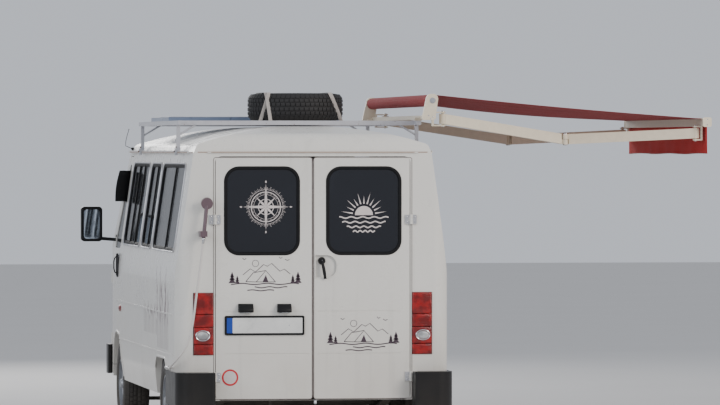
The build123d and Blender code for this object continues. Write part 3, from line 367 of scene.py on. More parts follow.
def timber_finish(name, colour):
    """Light veneer with a standing grain."""
    f = Finish(name)
    grain = f.noise(3.0, 8.0, 0.65, stretch=(10.0, 10.0, 0.7))
    return f.surface(
        Base_Color=f.mix(f.ramp(grain, 0.35, 0.7), colour, shade(colour, 0.55)),
        Roughness=0.42 + grain * 0.1,
        Normal=f.bump(grain, 0.12, 0.0008),
    )


def hose_finish(name, colour):
    """A ribbed hose: its rings follow the mesh's own length attribute, with painted shade in the grooves
    between them.
    """
    f = Finish(name)
    along = f.node("ShaderNodeAttribute", output="Fac", attribute_name="along")
    rings = (along * (2 * math.pi / HOSE_RINGS)).sine()
    return f.surface(
        # Painted shade: the colour darkens in the grooves, where the rings' bump is low
        Base_Color=f.mix(f.ramp(rings, -1.0, 0.2), shade(colour, 0.7), colour),
        Roughness=0.4,
        Normal=f.bump(rings, 0.5, 0.0006),
    )


def mirror_finish(name):
    """Silvered glass with a trace of dust, tinted blue as a painted reflection of the sky."""
    f = Finish(name)
    film = f.ramp(f.noise(8.0, 4.0), 0.45, 0.8)
    return f.surface(
        Base_Color=f.mix(film, (0.55, 0.62, 0.7), (0.42, 0.46, 0.5)),
        Metallic=1.0,
        Roughness=0.03 + film * 0.08,
    )


FINISHES = {}


def make_finishes(colours):
    """Every finish, by name."""
    plastic, metal, cloth, lens = plastic_finish, metal_finish, cloth_finish, lens_finish
    FINISHES.update(
        paint=paint_finish("cream_white_paint", colours.paint),
        cabin_glass=glass_finish("tinted_cabin_glass", (0.012, 0.014, 0.018), 0.62, 0.05, 0.1),
        rear_glass=glass_finish("blacked_out_glass", (0.008, 0.009, 0.013), 0.97, 0.06, 0.5),
        rubber=plastic("black_rubber", (0.01, 0.01, 0.011), 0.6, gloss=0.15),
        grey_rubber=plastic("aged_grey_rubber", (0.16, 0.13, 0.125), 0.7),
        black_plastic=plastic(
            "grained_black_plastic", (0.01, 0.01, 0.011), 0.4, 700.0, 0.25, 0.08, 0.22
        ),
        tyre=plastic("worn_tyre_rubber", (0.018, 0.017, 0.017), 0.7, 350.0, 0.3, 0.3),
        underbody=plastic("black_underseal", (0.03, 0.029, 0.028), 0.7, 160.0, 0.6, 0.4),
        dark_plastic=plastic("dark_cabin_plastic", (0.05, 0.05, 0.055), 0.6, 500.0, 0.4),
        sealant=plastic("browned_sealant", (0.3, 0.17, 0.11), 0.8, 240.0, 0.5),
        handset=plastic("aged_handset_plastic", (0.13, 0.085, 0.1), 0.3, 300.0, 0.05),
        plate=plastic("white_reflective_sheet", (0.68, 0.68, 0.66), 0.3, 1500.0, 0.1),
        plate_blue=plastic("blue_reflective_sheet", (0.01, 0.05, 0.32), 0.3, 1500.0, 0.1),
        vinyl_white=plastic("white_vinyl", (0.62, 0.56, 0.54), 0.5, 500.0, 0.1),
        vinyl_dark=plastic("dark_vinyl", (0.05, 0.03, 0.045), 0.5, 500.0, 0.1),
        vinyl_red=plastic("red_vinyl", (0.55, 0.02, 0.03), 0.45, 500.0, 0.1),
        vinyl_faded=plastic("faded_vinyl", (0.3, 0.24, 0.26), 0.6, 500.0, 0.1),
        rim=metal("silver_wheel_paint", (0.42, 0.43, 0.45), 0.38, 0.8, (0.16, 0.13, 0.1)),
        steel=metal("dull_steel", (0.3, 0.3, 0.32), 0.4),
        bright=metal("bright_steel", (0.62, 0.62, 0.63), 0.2, 1.0, None, (1.0, 1.0, 0.05)),
        rack=metal("chipped_rack_paint", (0.5, 0.5, 0.53), 0.4, 0.1, (0.16, 0.06, 0.035)),
        panel=metal("blue_grey_panel", (0.2, 0.25, 0.36), 0.3, 0.3),
        arm=metal("cream_arm_paint", colours.metal, 0.42, 0.05),
        alloy=metal("window_frame_alloy", (0.6, 0.6, 0.62), 0.32, 0.9),
        rust=rusty_finish("browned_steel", (0.2, 0.18, 0.17)),
        iron=rusty_finish("cast_iron", (0.12, 0.12, 0.12)),
        lamp_red=lens("red_lens", (0.4, 0.004, 0.003)),
        lamp_dark=lens("dark_red_lens", (0.12, 0.003, 0.003)),
        lamp_clear=lens("clear_lens", (0.72, 0.74, 0.76)),
        lamp_amber=lens("amber_lens", (0.75, 0.2, 0.01)),
        # Canopy and valance are one red fabric, given painted shade and painted light as two colours
        awning_cloth=cloth("red_awning_cloth", colours.cloth, 0.0026, 0.35, "xy", 0.05),
        valance_cloth=cloth("red_valance_cloth", colours.valance, 0.0026, 0.35, "yz", 0.05),
        seat_cloth=cloth("blue_seat_cloth", (0.035, 0.05, 0.12), 0.003, 0.5, "xz"),
        bench_cloth=cloth("grey_bench_cloth", (0.13, 0.15, 0.2), 0.003, 0.5, "xz"),
        webbing=cloth("pale_webbing", (0.55, 0.5, 0.46), 0.0016, 0.6, "xz"),
        timber=timber_finish("light_veneer", (0.42, 0.29, 0.16)),
        hose=hose_finish("white_ribbed_hose", (0.74, 0.7, 0.66)),
        mirror=mirror_finish("mirror_glass"),
    )


# The record's slot for an added piece of each finish, where it isn't the finish's own name
SLOT_OF = {
    finish: slot
    for slot, finishes in (
        ("body_paint", "paint vinyl_white sealant"),
        ("black_plastic", "rubber grey_rubber vinyl_dark vinyl_faded"),
        ("steel", "bright alloy rust"),
        ("lamp_red", "lamp_dark vinyl_red"),
        ("lamp_clear", "lamp_amber plate"),
        ("awning_cloth", "valance_cloth"),
        ("seat_fabric", "seat_cloth"),
        ("bench_fabric", "bench_cloth"),
        ("cupboard", "timber"),
        ("panel", "plate_blue"),
        ("glass", "mirror"),
    )
    for finish in finishes.split()
}

# Which finish each CAD node takes
NODE_FINISHES = (
    ("paint", "roof_panel side_panel_left side_panel_right sliding_door rear_frame front_panel"),
    ("paint", "bonnet rear_door_left rear_door_right cab_door_left cab_door_right"),
    ("cabin_glass", "body_glass cab_glass_left cab_glass_right"),
    ("rear_glass", "rear_glass_left rear_glass_right"),
    ("underbody", "floor_pan front_axle rear_axle fuel_tank knuckle_left knuckle_right"),
    ("iron", "engine_block"),
    ("rust", "exhaust"),
    ("black_plastic", "bumpers grille mirror_left mirror_right"),
    ("lamp_red", "tail_lamps"),
    ("lamp_clear", "headlamps"),
    ("dark_plastic", "dashboard"),
    ("seat_cloth", "cab_seats"),
    ("bench_cloth", "rear_bench"),
    ("timber", "furniture"),
    ("rack", "roof_rack"),
    ("panel", "rack_panel"),
    ("tyre", "spare_wheel tyre_front_left tyre_front_right tyre_rear_left tyre_rear_right"),
    ("rim", "rim_front_left rim_front_right rim_rear_left rim_rear_right"),
    ("arm", "awning_case awning_front_bar arm_near_inner arm_near_outer arm_far_inner arm_far_outer"),
    ("awning_cloth", "awning_fabric awning_roll"),
    ("valance_cloth", "awning_valance"),
    ("handset", "shower_handset"),
    ("hose", "shower_hose"),
)


def add_piece(name, mesh, finish, body="body", smooth=35.0, slot=None, replaces=None):
    """Put a mesh, or several as one, at the origin with its finish, riding on a body."""
    if isinstance(mesh, list):
        mesh = joined(mesh)
    piece = linked(name, mesh)
    mesh.materials.clear()
    mesh.materials.append(FINISHES[finish])
    if smooth:
        mesh.shade_smooth()
        mesh.set_sharp_from_angle(angle=math.radians(smooth))
    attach(piece, body)
    slot or SLOT_OF.get(finish, finish)
    if replaces:
        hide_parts(replaces)
    return piece


def linked(name, data):
    """A new object in the scene."""
    holder = bpy.data.objects.new(name, data)
    bpy.context.scene.collection.objects.link(holder)
    return holder


def plain_copy(holder):
    """The evaluated mesh of an object, which is then removed."""
    graph = bpy.context.evaluated_depsgraph_get()
    mesh = bpy.data.meshes.new_from_object(holder.evaluated_get(graph))
    bpy.data.objects.remove(holder)
    return mesh


def settled(made):
    """Turn a bmesh into a mesh once its doubles are merged and its faces point outwards."""
    bmesh.ops.remove_doubles(made, verts=made.verts, dist=0.00002)
    bmesh.ops.recalc_face_normals(made, faces=made.faces)
    mesh = bpy.data.meshes.new("made")
    made.to_mesh(mesh)
    made.free()
    return mesh


def mesh_of(corners, faces):
    """A mesh from its corners and faces, with doubles merged and faces turned outwards."""
    made = bmesh.new()
    verts = [made.verts.new(corner) for corner in corners]
    for face in faces:
        made.faces.new([verts[i] for i in face])
    return settled(made)


def joined(meshes):
    """Several meshes as one."""
    made = bmesh.new()
    for mesh in meshes:
        made.from_mesh(mesh)
    mesh = bpy.data.meshes.new("joined")
    made.to_mesh(mesh)
    made.free()
    return mesh


def bevelled(mesh, offset, segments=2):
    """The same mesh with every edge rounded."""
    made = bmesh.new()
    made.from_mesh(mesh)
    bmesh.ops.bevel(
        made, geom=list(made.edges), offset=offset, segments=segments, profile=0.5, affect="EDGES"
    )
    return settled(made)


def box_mesh(low, high, bevel=0.0, segments=2):
    """A box between two corners, with rounded edges."""
    lowest = Vector([min(a, b) for a, b in zip(low, high)])
    highest = Vector([max(a, b) for a, b in zip(low, high)])
    size = highest - lowest
    made = bmesh.new()
    bmesh.ops.create_cube(made, size=1.0)
    bmesh.ops.scale(made, vec=size, verts=made.verts)
    bmesh.ops.translate(made, vec=(lowest + highest) / 2, verts=made.verts)
    mesh = settled(made)
    return bevelled(mesh, min(bevel, 0.49 * min(size)), segments) if bevel else mesh


def lofted(rings, closed=False):
    """A solid through loops with as many points each, capped at its ends or closed on itself."""
    count = len(rings[0])
    total = count * len(rings)
    faces = []
    for here in range(0, total if closed else total - count, count):
        there = (here + count) % total
        for i in range(count):
            up = (i + 1) % count
            faces.append((here + i, here + up, there + up, there + i))
    if not closed:
        faces += [tuple(range(total - count, total)), tuple(reversed(range(count)))]
    return mesh_of([corner for ring in rings for corner in ring], faces)


def grid_mesh(columns, rows, at):
    """A sheet of quads, where at(column, row) gives a point."""
    corners = [at(j, i) for j in range(columns + 1) for i in range(rows + 1)]
    wide = rows + 1
    faces = [
        (j * wide + i, j * wide + i + 1, (j + 1) * wide + i + 1, (j + 1) * wide + i)
        for j in range(columns)
        for i in range(rows)
    ]
    return mesh_of(corners, faces)


def turned(profile, origin, axis, steps=64):
    """A solid of revolution: profile rows are (distance along the axis, radius)."""
    axis = Vector(axis).normalized()
    aside = axis.orthogonal().normalized()
    across = axis.cross(aside)
    rows = len(profile)
    corners = []
    faces = []
    for step in range(steps):
        angle = 2 * math.pi * step / steps
        out = aside * math.cos(angle) + across * math.sin(angle)
        corners += [Vector(origin) + axis * along + out * radius for along, radius in profile]
        here = step * rows
        there = ((step + 1) % steps) * rows
        for row in range(rows - 1):
            faces.append((here + row, here + row + 1, there + row + 1, there + row))
    return mesh_of(corners, faces)


def swept(path, outs, profile, closed=False):
    """A strip along a path. outs point off the surface, and profile rows are (aside, out)."""
    count = len(path)
    rings = []
    for i, point in enumerate(path):
        before = path[i - 1] if i or closed else point
        after = path[(i + 1) % count] if i + 1 < count or closed else point
        along = (after - before).normalized()
        out = (outs[i] - along * outs[i].dot(along)).normalized()
        aside = along.cross(out)
        rings.append([point + aside * a + out * b for a, b in profile])
    return lofted(rings, closed)


def round_bar(points, radius, sides=10):
    """A round bar through points, straight between them and closed at its ends."""
    last = len(points) - 1
    first = (points[1] - points[0]).orthogonal()
    steady = []
    for i in range(len(points)):
        along = (points[min(i + 1, last)] - points[max(i - 1, 0)]).normalized()
        first = (first - along * first.dot(along)).normalized()
        steady.append(first)
    return swept(points, steady, circle((0, 0), radius, sides))


def circle(centre, radius, count=48, start=0.0, sweep=360.0):
    """Points round a circle, or along an arc of it."""
    steps = count if sweep >= 360.0 else count - 1
    turns = [math.radians(start + sweep * k / steps) for k in range(count)]
    return [(centre[0] + radius * math.cos(t), centre[1] + radius * math.sin(t)) for t in turns]


def rounded_loop(low_a, high_a, low_b, high_b, radius, arc=7):
    """Points round a rounded rectangle, in order."""
    loop = []
    for a, b, start in (
        (high_a - radius, high_b - radius, 0),
        (low_a + radius, high_b - radius, 90),
        (low_a + radius, low_b + radius, 180),
        (high_a - radius, low_b + radius, 270),
    ):
        loop += circle((a, b), radius, arc + 1, start, 90)
    return loop


def loop_round(a, b, wide, tall, radius, arc):
    """A rounded rectangle round its middle."""
    return rounded_loop(a - wide / 2, a + wide / 2, b - tall / 2, b + tall / 2, radius, arc)


def rounded_corners(points, radius, arc=7):
    """A closed loop of straight runs with its corners rounded."""
    loop = []
    for i, point in enumerate(points):
        corner = Vector(point)
        before = (Vector(points[i - 1]) - corner).normalized()
        after = (Vector(points[(i + 1) % len(points)]) - corner).normalized()
        half = before.angle(after) / 2
        centre = corner + (before + after).normalized() * (radius / math.sin(half))
        start = corner + before * (radius / math.tan(half)) - centre
        end = corner + after * (radius / math.tan(half)) - centre
        for k in range(arc + 1):
            out = start.slerp(end, k / arc).normalized() * radius
            loop.append(tuple(centre + out))
    return loop


def thickened(loop, step):
    """The same closed loop with points no further apart than a step."""
    result = []
    for i, (a, b) in enumerate(loop):
        c, d = loop[(i + 1) % len(loop)]
        count = max(1, round(math.hypot(c - a, d - b) / step))
        result += [(a + (c - a) * k / count, b + (d - b) * k / count) for k in range(count)]
    return result


TREES = {}


def skin_hit(node, origin, direction):
    """Where a ray first meets a CAD node, and the surface's direction there."""
    if node not in TREES:
        mesh = NODES[node].data
        mesh.calc_loop_triangles()
        TREES[node] = BVHTree.FromPolygons(
            [v.co.copy() for v in mesh.vertices], [tuple(t.vertices) for t in mesh.loop_triangles]
        )
    direction = Vector(direction)
    point, normal, _, _ = TREES[node].ray_cast(origin, direction)
    if point is None:
        return None, None
    return point, -normal if normal.dot(direction) > 0 else normal


def first_hit(nodes, origin, direction):
    """Where a ray first meets any of several CAD nodes."""
    hits = [skin_hit(node, origin, direction) for node in nodes]
    hits = [hit for hit in hits if hit[0]]
    if not hits:
        raise RuntimeError(f"nothing of {nodes} stands before {tuple(origin)}")
    return min(hits, key=lambda hit: (hit[0] - origin).length)


def side_hit(side, station, height):
    """Where the vehicle's side stands at a station and height; side is 1 on the left."""
    return first_hit(SIDE_NODES[side], spot(side * FAR_OUT, station, height), (-side, 0, 0))


def has_side(side, station, height):
    """Whether the vehicle's side reaches a station and height."""
    origin = spot(side * FAR_OUT, station, height)
    return any(skin_hit(node, origin, (-side, 0, 0))[0] for node in SIDE_NODES[side])


def side_point(side, station, height):
    """A point on the side, with the section taken at a pillar where no window is."""
    point, normal = side_hit(side, PILLAR, height)
    return Vector((point.x, REAR_Y - station, height)), normal


def front_hit(across, height, nodes=("front_panel", "bonnet")):
    """Where the front stands at a distance to the left and a height."""
    return first_hit(nodes, spot(across, FRONT_OUT, height), (0, 1, 0))


def on_rear(across, height, depth=0.0):
    """A point on the rear skin, or inside it by a depth, and the direction out of it."""
    return spot(across, depth, height), Vector((0, 1, 0))


def on_glass(across, height):
    return on_rear(across, height, GLASS_IN)


def on_left(station, height):
    return side_point(1, station, height)


def strip_mesh(lines, put, profile, closed=False):
    """Strips of one profile along lines on a surface, where put gives a point and its direction."""
    strips = []
    for line in lines:
        points, outs = zip(*(put(a, b) for a, b in line))
        strips.append(swept(points, outs, profile, closed))
    return joined(strips)


def line_mesh(lines, width, put, thickness=0.0006, closed=False):
    """Thin raised lines on a surface."""
    half = width / 2
    profile = ((-half, LIFT), (half, LIFT), (half, LIFT + thickness), (-half, LIFT + thickness))
    return strip_mesh(lines, put, profile, closed)


def patch_mesh(loops, put, thickness=0.0006, lift=LIFT):
    """Filled shapes on a surface."""
    made = []
    for loop in loops:
        spots = [put(a, b) for a, b in loop]
        levels = (lift, lift + thickness)
        made.append(lofted([[point + out * level for point, out in spots] for level in levels]))
    return joined(made)


def dome_mesh(centre, half_a, half_b, out, high, rows=6, steps=32):
    """A low oval dome: half_a and half_b are vectors across its foot."""
    corners = []
    for row in range(rows):
        lift = row / rows * math.pi / 2
        for a, b in circle((0, 0), 1.0, steps):
            flat = half_a * a + half_b * b
            corners.append(centre + flat * math.cos(lift) + out * high * math.sin(lift))
    corners.append(centre + out * high)
    faces = [tuple(reversed(range(steps)))]
    for step in range(steps):
        after = (step + 1) % steps
        for row in range(0, (rows - 1) * steps, steps):
            faces.append((row + step, row + after, row + steps + after, row + steps + step))
        faces.append(((rows - 1) * steps + step, (rows - 1) * steps + after, rows * steps))
    return mesh_of(corners, faces)


def moved(mesh, offset):
    mesh.transform(Matrix.Translation(Vector(offset)))
    return mesh


def screw(radius, place, direction):
    """A dished screw head that stands on a place."""
    profile = (
        (0.0, 0.0), (0.0, radius), (radius * 0.3, radius * 0.92), (radius * 0.5, radius * 0.5),
        (radius * 0.42, 0.0),
    )
    head = turned(profile, (0, 0, 0), (0, 0, 1), 12)
    head.transform(Vector((0, 0, 1)).rotation_difference(Vector(direction)).to_matrix().to_4x4())
    return moved(head, place)


def about(centre, turn, rows):
    """Points given as (along, aside) in a direction from a centre."""
    c, s = math.cos(turn), math.sin(turn)
    return [(centre[0] + c * a - s * b, centre[1] + s * a + c * b) for a, b in rows]


def beside(x, side, station, height):
    """A point on an upright plane along the vehicle, and the direction out of it."""
    return Vector((x, REAR_Y - station, height)), Vector((side, 0, 0))


def grip_mesh(x, side, rows, half):
    """A pull handle bent along rows of (station, height, out)."""
    path = [Vector((x + side * out, REAR_Y - a, b)) for a, b, out in rows]
    profile = rounded_loop(-half, half, -0.004, 0.004, 0.003, 3)
    return swept(path, [Vector((side, 0, 0))] * len(path), profile)


def sealant(name, origins, direction, high):
    """A bead of browned sealant in the roof's joint, where rays from outside meet it."""
    hits = [skin_hit("roof_panel", origin, direction) for origin in origins]
    points, outs = zip(*(hit for hit in hits if hit[0]))
    profile = ((-0.003, -0.001), (0.003, -0.001), (0.0022, high), (-0.0022, high))
    add_piece(name, swept(points, outs, profile), "sealant")


def middle_of(node):
    low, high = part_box(node)
    return (low + high) / 2


def thicken(piece, thickness):
    """Give a sheet its thickness on both sides."""
    wall = piece.modifiers.new("thickness", "SOLIDIFY")
    wall.thickness = thickness
    wall.offset = 0.0


class Layout(Nodes):
    """A Geometry Nodes tree that ends in Realize Instances and Set Material."""

    def __init__(self, name, **inputs):
        super().__init__(bpy.data.node_groups.new(name, "GeometryNodeTree"))
        face = self.tree.interface
        face.new_socket("Geometry", in_out="INPUT", socket_type="NodeSocketGeometry")
        for label, kind in (*inputs.items(), ("Material", "Material")):
            face.new_socket(label, in_out="INPUT", socket_type="NodeSocket" + kind)
        face.new_socket("Geometry", in_out="OUTPUT", socket_type="NodeSocketGeometry")
        outputs = self.tree.nodes.new("NodeGroupInput").outputs
        self.given = {socket.name: Link(self, socket) for socket in outputs if socket.name}

    def end(self, **turn):
        copies = self.node("GeometryNodeInstanceOnPoints", turn)
        real = self.node("GeometryNodeRealizeInstances", {0: copies})
        sockets = {"Geometry": real, "Material": self.given["Material"]}
        coated = self.node("GeometryNodeSetMaterial", sockets)
        self.node("NodeGroupOutput", {0: coated})
        return self.tree


def ring_layout():
    """Copies of the unit turned about the X axis, evenly round a circle."""
    lay = Layout("ring_of_copies", Count="Int")
    count = lay.given["Count"]
    points = lay.node("GeometryNodePoints", {"Count": count})
    angle = lay.node("GeometryNodeInputIndex") / count * (2 * math.pi)
    turn = lay.node("ShaderNodeCombineXYZ", {0: angle})
    return lay.end(Points=points, Instance=lay.given["Geometry"], Rotation=turn)


def row_layout():
    """Copies of the unit in a straight row."""
    lay = Layout("row_of_copies", Count="Int", Step="Vector")
    index = lay.node("GeometryNodeInputIndex")
    sockets = {0: lay.given["Step"], "Scale": index}
    place = lay.node("ShaderNodeVectorMath", sockets, operation="SCALE")
    points = lay.node("GeometryNodePoints", {"Count": lay.given["Count"], "Position": place})
    return lay.end(Points=points, Instance=lay.given["Geometry"])


LAYOUTS = {}


def laid_out(layout, unit, finish, **values):
    """Lay the unit mesh out and return the plain mesh that it makes."""
    tree = LAYOUTS[layout]
    holder = linked("unit", unit)
    modifier = holder.modifiers.new("layout", "NODES")
    modifier.node_group = tree
    values["Material"] = FINISHES[finish]
    for item in tree.interface.items_tree:
        if item.in_out == "INPUT" and item.name in values:
            modifier[item.identifier] = values[item.name]
    return plain_copy(holder)


def row_of(unit, finish, count, step, place):
    """A row of copies of the unit as one mesh, from a place on."""
    return moved(laid_out("row", unit, finish, Count=count, Step=Vector(step)), place)


class VAN_OT_stage(bpy.types.Operator):
    """Set up the floor, the lights, the sky and the photograph's camera"""

    bl_idname = "van.stage"
    bl_label = "Stage"

    half_floor = 60.0
    sky = (0.8, 0.84, 0.92, 1.0)
    sky_strength = 0.75
    # name, place, aimed at, size, power, colour
    lamps = (
        ("key", (-7.0, 11.0, 6.5), (-0.4, 2.0, 1.2), 5.0, 900.0, (1.0, 0.93, 0.86)),
        ("fill", (9.0, 8.0, 5.0), (1.0, 0.5, 1.2), 6.0, 330.0, (0.88, 0.93, 1.0)),
        ("front", (3.0, -12.0, 6.0), (0.5, -1.5, 1.2), 6.0, 500.0, (1.0, 0.98, 0.95)),
    )

    def execute(self, context):
        half = self.half_floor
        corners = [(-half, -half, 0), (half, -half, 0), (half, half, 0), (-half, half, 0)]
        floor = linked("studio_floor", mesh_of(corners, [(0, 1, 2, 3)]))
        f = Finish("pale_floor")
        pale = f.mix(f.noise(0.8, 3.0), (0.6, 0.59, 0.58), (0.64, 0.63, 0.62))
        floor.data.materials.append(f.surface(Base_Color=pale, Roughness=0.85))
        self.lights(context)
        self.camera(context)
        return {"FINISHED"}

    def lights(self, context):
        world = bpy.data.worlds.new("studio_sky")
        world.use_nodes = True
        background = world.node_tree.nodes["Background"]
        background.inputs["Color"].default_value = self.sky
        background.inputs["Strength"].default_value = self.sky_strength
        context.scene.world = world
        for name, place, aim, size, power, colour in self.lamps:
            lamp = bpy.data.lights.new(name, "AREA")
            lamp.size = size
            lamp.energy = power
            lamp.color = colour
            holder = linked(name + "_light", lamp)
            holder.location = place
            holder.rotation_euler = (Vector(aim) - Vector(place)).to_track_quat("-Z", "Y").to_euler()

    def camera(self, context):
        lens = bpy.data.cameras.new("photograph")
        lens.sensor_width = SENSOR
        lens.lens = LENS
        lens.clip_end = 200.0
        eye = linked("photograph", lens)
        across, behind, height = EYE
        eye.location = spot(across, -behind, height)
        yaw, pitch = math.radians(YAW), math.radians(PITCH)
        look = Vector((-math.sin(yaw), -math.cos(yaw), -math.tan(pitch)))
        eye.rotation_euler = look.to_track_quat("-Z", "Y").to_euler()
        context.scene.camera = eye


class VAN_OT_hose(bpy.types.Operator):
    """Hang the shower's hose on its route, with a ferrule at each end"""

    bl_idname = "van.hose"
    bl_label = "Shower hose"

    # the ferrule: along the hose, radius
    nut = (
        (-0.004, 0.0), (-0.004, 0.01), (0.0, 0.0112), (0.014, 0.0112), (0.018, 0.01),
        (0.034, 0.0088), (0.036, 0.0078),
    )

    def execute(self, context):
        route = [spot(x, -behind, z) for x, behind, z in HOSE_ROUTE]
        line = bpy.data.curves.new("hose_line", "CURVE")
        line.dimensions = "3D"
        run = line.splines.new("NURBS")
        run.points.add(len(route) - 1)
        for point, place in zip(run.points, route):
            point.co = (*place, 1.0)
        run.order_u = 3
        run.use_endpoint_u = True
        run.resolution_u = 12
        path = [v.co.copy() for v in plain_copy(linked("hose_line", line)).vertices]
        tube = self.tube(path)
        piece = add_piece("shower_hose_tube", tube, "hose", smooth=60.0, replaces="shower_hose")
        ends = [
            add_piece(name, turned(self.nut, place, toward - place, 24), "bright", smooth=30.0)
            for name, place, toward in (
                ("hose_nut_top", route[0], route[1]), ("hose_nut_bottom", route[-1], route[-2])
            )
        ]
        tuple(route[0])
        return {"FINISHED"}

    @staticmethod
    def tube(path):
        """A round tube whose points carry how far along the hose they stand."""
        mesh = round_bar(path, HOSE_DIAMETER / 2, 14)
        lengths = [0.0]
        for before, after in zip(path, path[1:]):
            lengths.append(lengths[-1] + (after - before).length)
        values = []
        for vertex in mesh.vertices:
            near = min(range(len(path)), key=lambda i: (path[i] - vertex.co).length_squared)
            values.append(lengths[near])
        mesh.attributes.new("along", "FLOAT", "POINT").data.foreach_set("value", values)
        return mesh


class VAN_OT_tyres(bpy.types.Operator):
    """Put a treaded tyre on each wheel, with its nuts, its hub cap and its valve"""

    bl_idname = "van.tyres"
    bl_label = "Tyres"

    # tread blocks: low edge, high edge, outer radius at each edge
    blocks = (
        (-0.0905, -0.061, 0.3145, 0.3352), (-0.055, -0.034, 0.3358, 0.3365),
        (-0.028, -0.0045, 0.3365, 0.3365), (0.0045, 0.028, 0.3365, 0.3365),
        (0.034, 0.055, 0.3365, 0.3358), (0.061, 0.0905, 0.3352, 0.3145),
    )
    block_faces = (
        (0, 2, 3, 5, 4, 1), (6, 7, 10, 11, 9, 8), (0, 1, 7, 6), (2, 8, 9, 3),
        (1, 4, 10, 7), (3, 9, 11, 5), (4, 5, 11, 10), (0, 6, 8, 2),
    )
    # a block's share of its pitch, the shift of every other row, and the tread's lowest radius
    fill = 0.82
    stagger = 0.25
    pocket = 0.3305
    # how deep a block is rooted, and its worn edge across and down
    root = 0.006
    edge_across = 0.0012
    edge_down = 0.0008
    # half of the casing's outside and of its inside: across, radius
    outside = (
        (0.0855, 0.1832), (0.0905, 0.186), (0.094, 0.196), (0.0918, 0.201), (0.0945, 0.206),
        (0.097, 0.225), (0.0976, 0.245), (0.0972, 0.262), (0.096, 0.264), (0.0966, 0.2665),
        (0.095, 0.28), (0.093, 0.2935), (0.09, 0.2985), (0.0905, 0.301), (0.086, 0.311),
        (0.079, 0.3215), (0.06, 0.3295), (0.03, 0.3303),
    )
    inside = ((0.07, 0.19), (0.084, 0.21), (0.086, 0.26), (0.078, 0.305), (0.03, 0.319))
    # nut and hub cap: along the axle, radius
    nut = ((0.0, 0.0), (0.0, 0.0095), (0.01, 0.0095), (0.013, 0.0072), (0.02, 0.0068), (0.022, 0.0))
    nut_place = (0.052, 0, 0.056)
    nut_count = 5
    cap = (
        (0.0745, 0.0), (0.0745, 0.036), (0.0795, 0.036), (0.0915, 0.031), (0.0985, 0.018), (0.1005, 0.0),
    )
    valve = ((0.066, 0, 0.162), (0.078, 0, 0.158))

    def execute(self, context):
        lugs = sizes().lug_count
        unit = self.tread(2 * math.pi / lugs)
        whole = joined([self.casing(), laid_out("ring", unit, "tyre", Count=lugs)])
        for name, side in (
            ("front_left", 1), ("front_right", -1), ("rear_left", 1), ("rear_right", -1)
        ):
            node, body = "tyre_" + name, "wheel_" + name
            centre = middle_of(node)
            add_piece("treaded_" + node, moved(whole.copy(), centre), "tyre", body, replaces=node)
            self.hub(name, side, centre)
        self.spare(whole)
        return {"FINISHED"}

    def casing(self):
        loop = [*self.outside, *((-a, r) for a, r in reversed(self.outside))]
        loop += [*((-a, r) for a, r in self.inside), *reversed(self.inside)]
        return turned([*loop, loop[0]], (0, 0, 0), (1, 0, 0), 96)

    def tread(self, pitch):
        """One pitch of the tread, at the top of the tyre."""
        made = []
        half = pitch * self.fill / 2
        for row, (low, high, first, second) in enumerate(self.blocks):
            shift = pitch * self.stagger * (row % 2)
            section = [
                (across, level)
                for across, radius in ((low, first), (high, second))
                for level in (min(self.pocket, radius) - self.root, radius - self.edge_down)
            ]
            section += [(low + self.edge_across, first), (high - self.edge_across, second)]
            corners = [
                (across, -radius * math.sin(turn), radius * math.cos(turn))
                for turn in (shift - half, shift + half)
                for across, radius in section
            ]
            made.append(mesh_of(corners, self.block_faces))
        return joined(made)

    def hub(self, name, side, centre):
        nut = moved(turned(self.nut, (0, 0, 0), (1, 0, 0), 6), self.nut_place)
        nuts = laid_out("ring", nut, "steel", Count=self.nut_count)
        for label, mesh, finish, slot in (
            ("wheel_nuts_", nuts, "steel", None),
            ("hub_cap_", turned(self.cap, (0, 0, 0), (1, 0, 0), 32), "rim", None),
            ("valve_", round_bar([Vector(end) for end in self.valve], 0.0042, 8), "rubber", "tyre"),
        ):
            if side < 0:
                mesh.transform(Matrix.Rotation(math.pi, 4, "Z"))
            add_piece(label + name, moved(mesh, centre), finish, "wheel_" + name, slot=slot)

    def spare(self, whole):
        centre = middle_of("spare_wheel")
        lay = Matrix.Rotation(-math.pi / 2, 4, "Y")
        tyre = whole.copy()
        tyre.transform(lay)
        add_piece("spare_tyre", moved(tyre, centre), "tyre", replaces="spare_wheel")
        rim = NODES["rim_rear_left"].data.copy()
        rim.transform(lay @ Matrix.Translation(-middle_of("rim_rear_left")))
        add_piece("spare_rim", moved(rim, centre), "rim", smooth=0, replaces="spare_wheel")


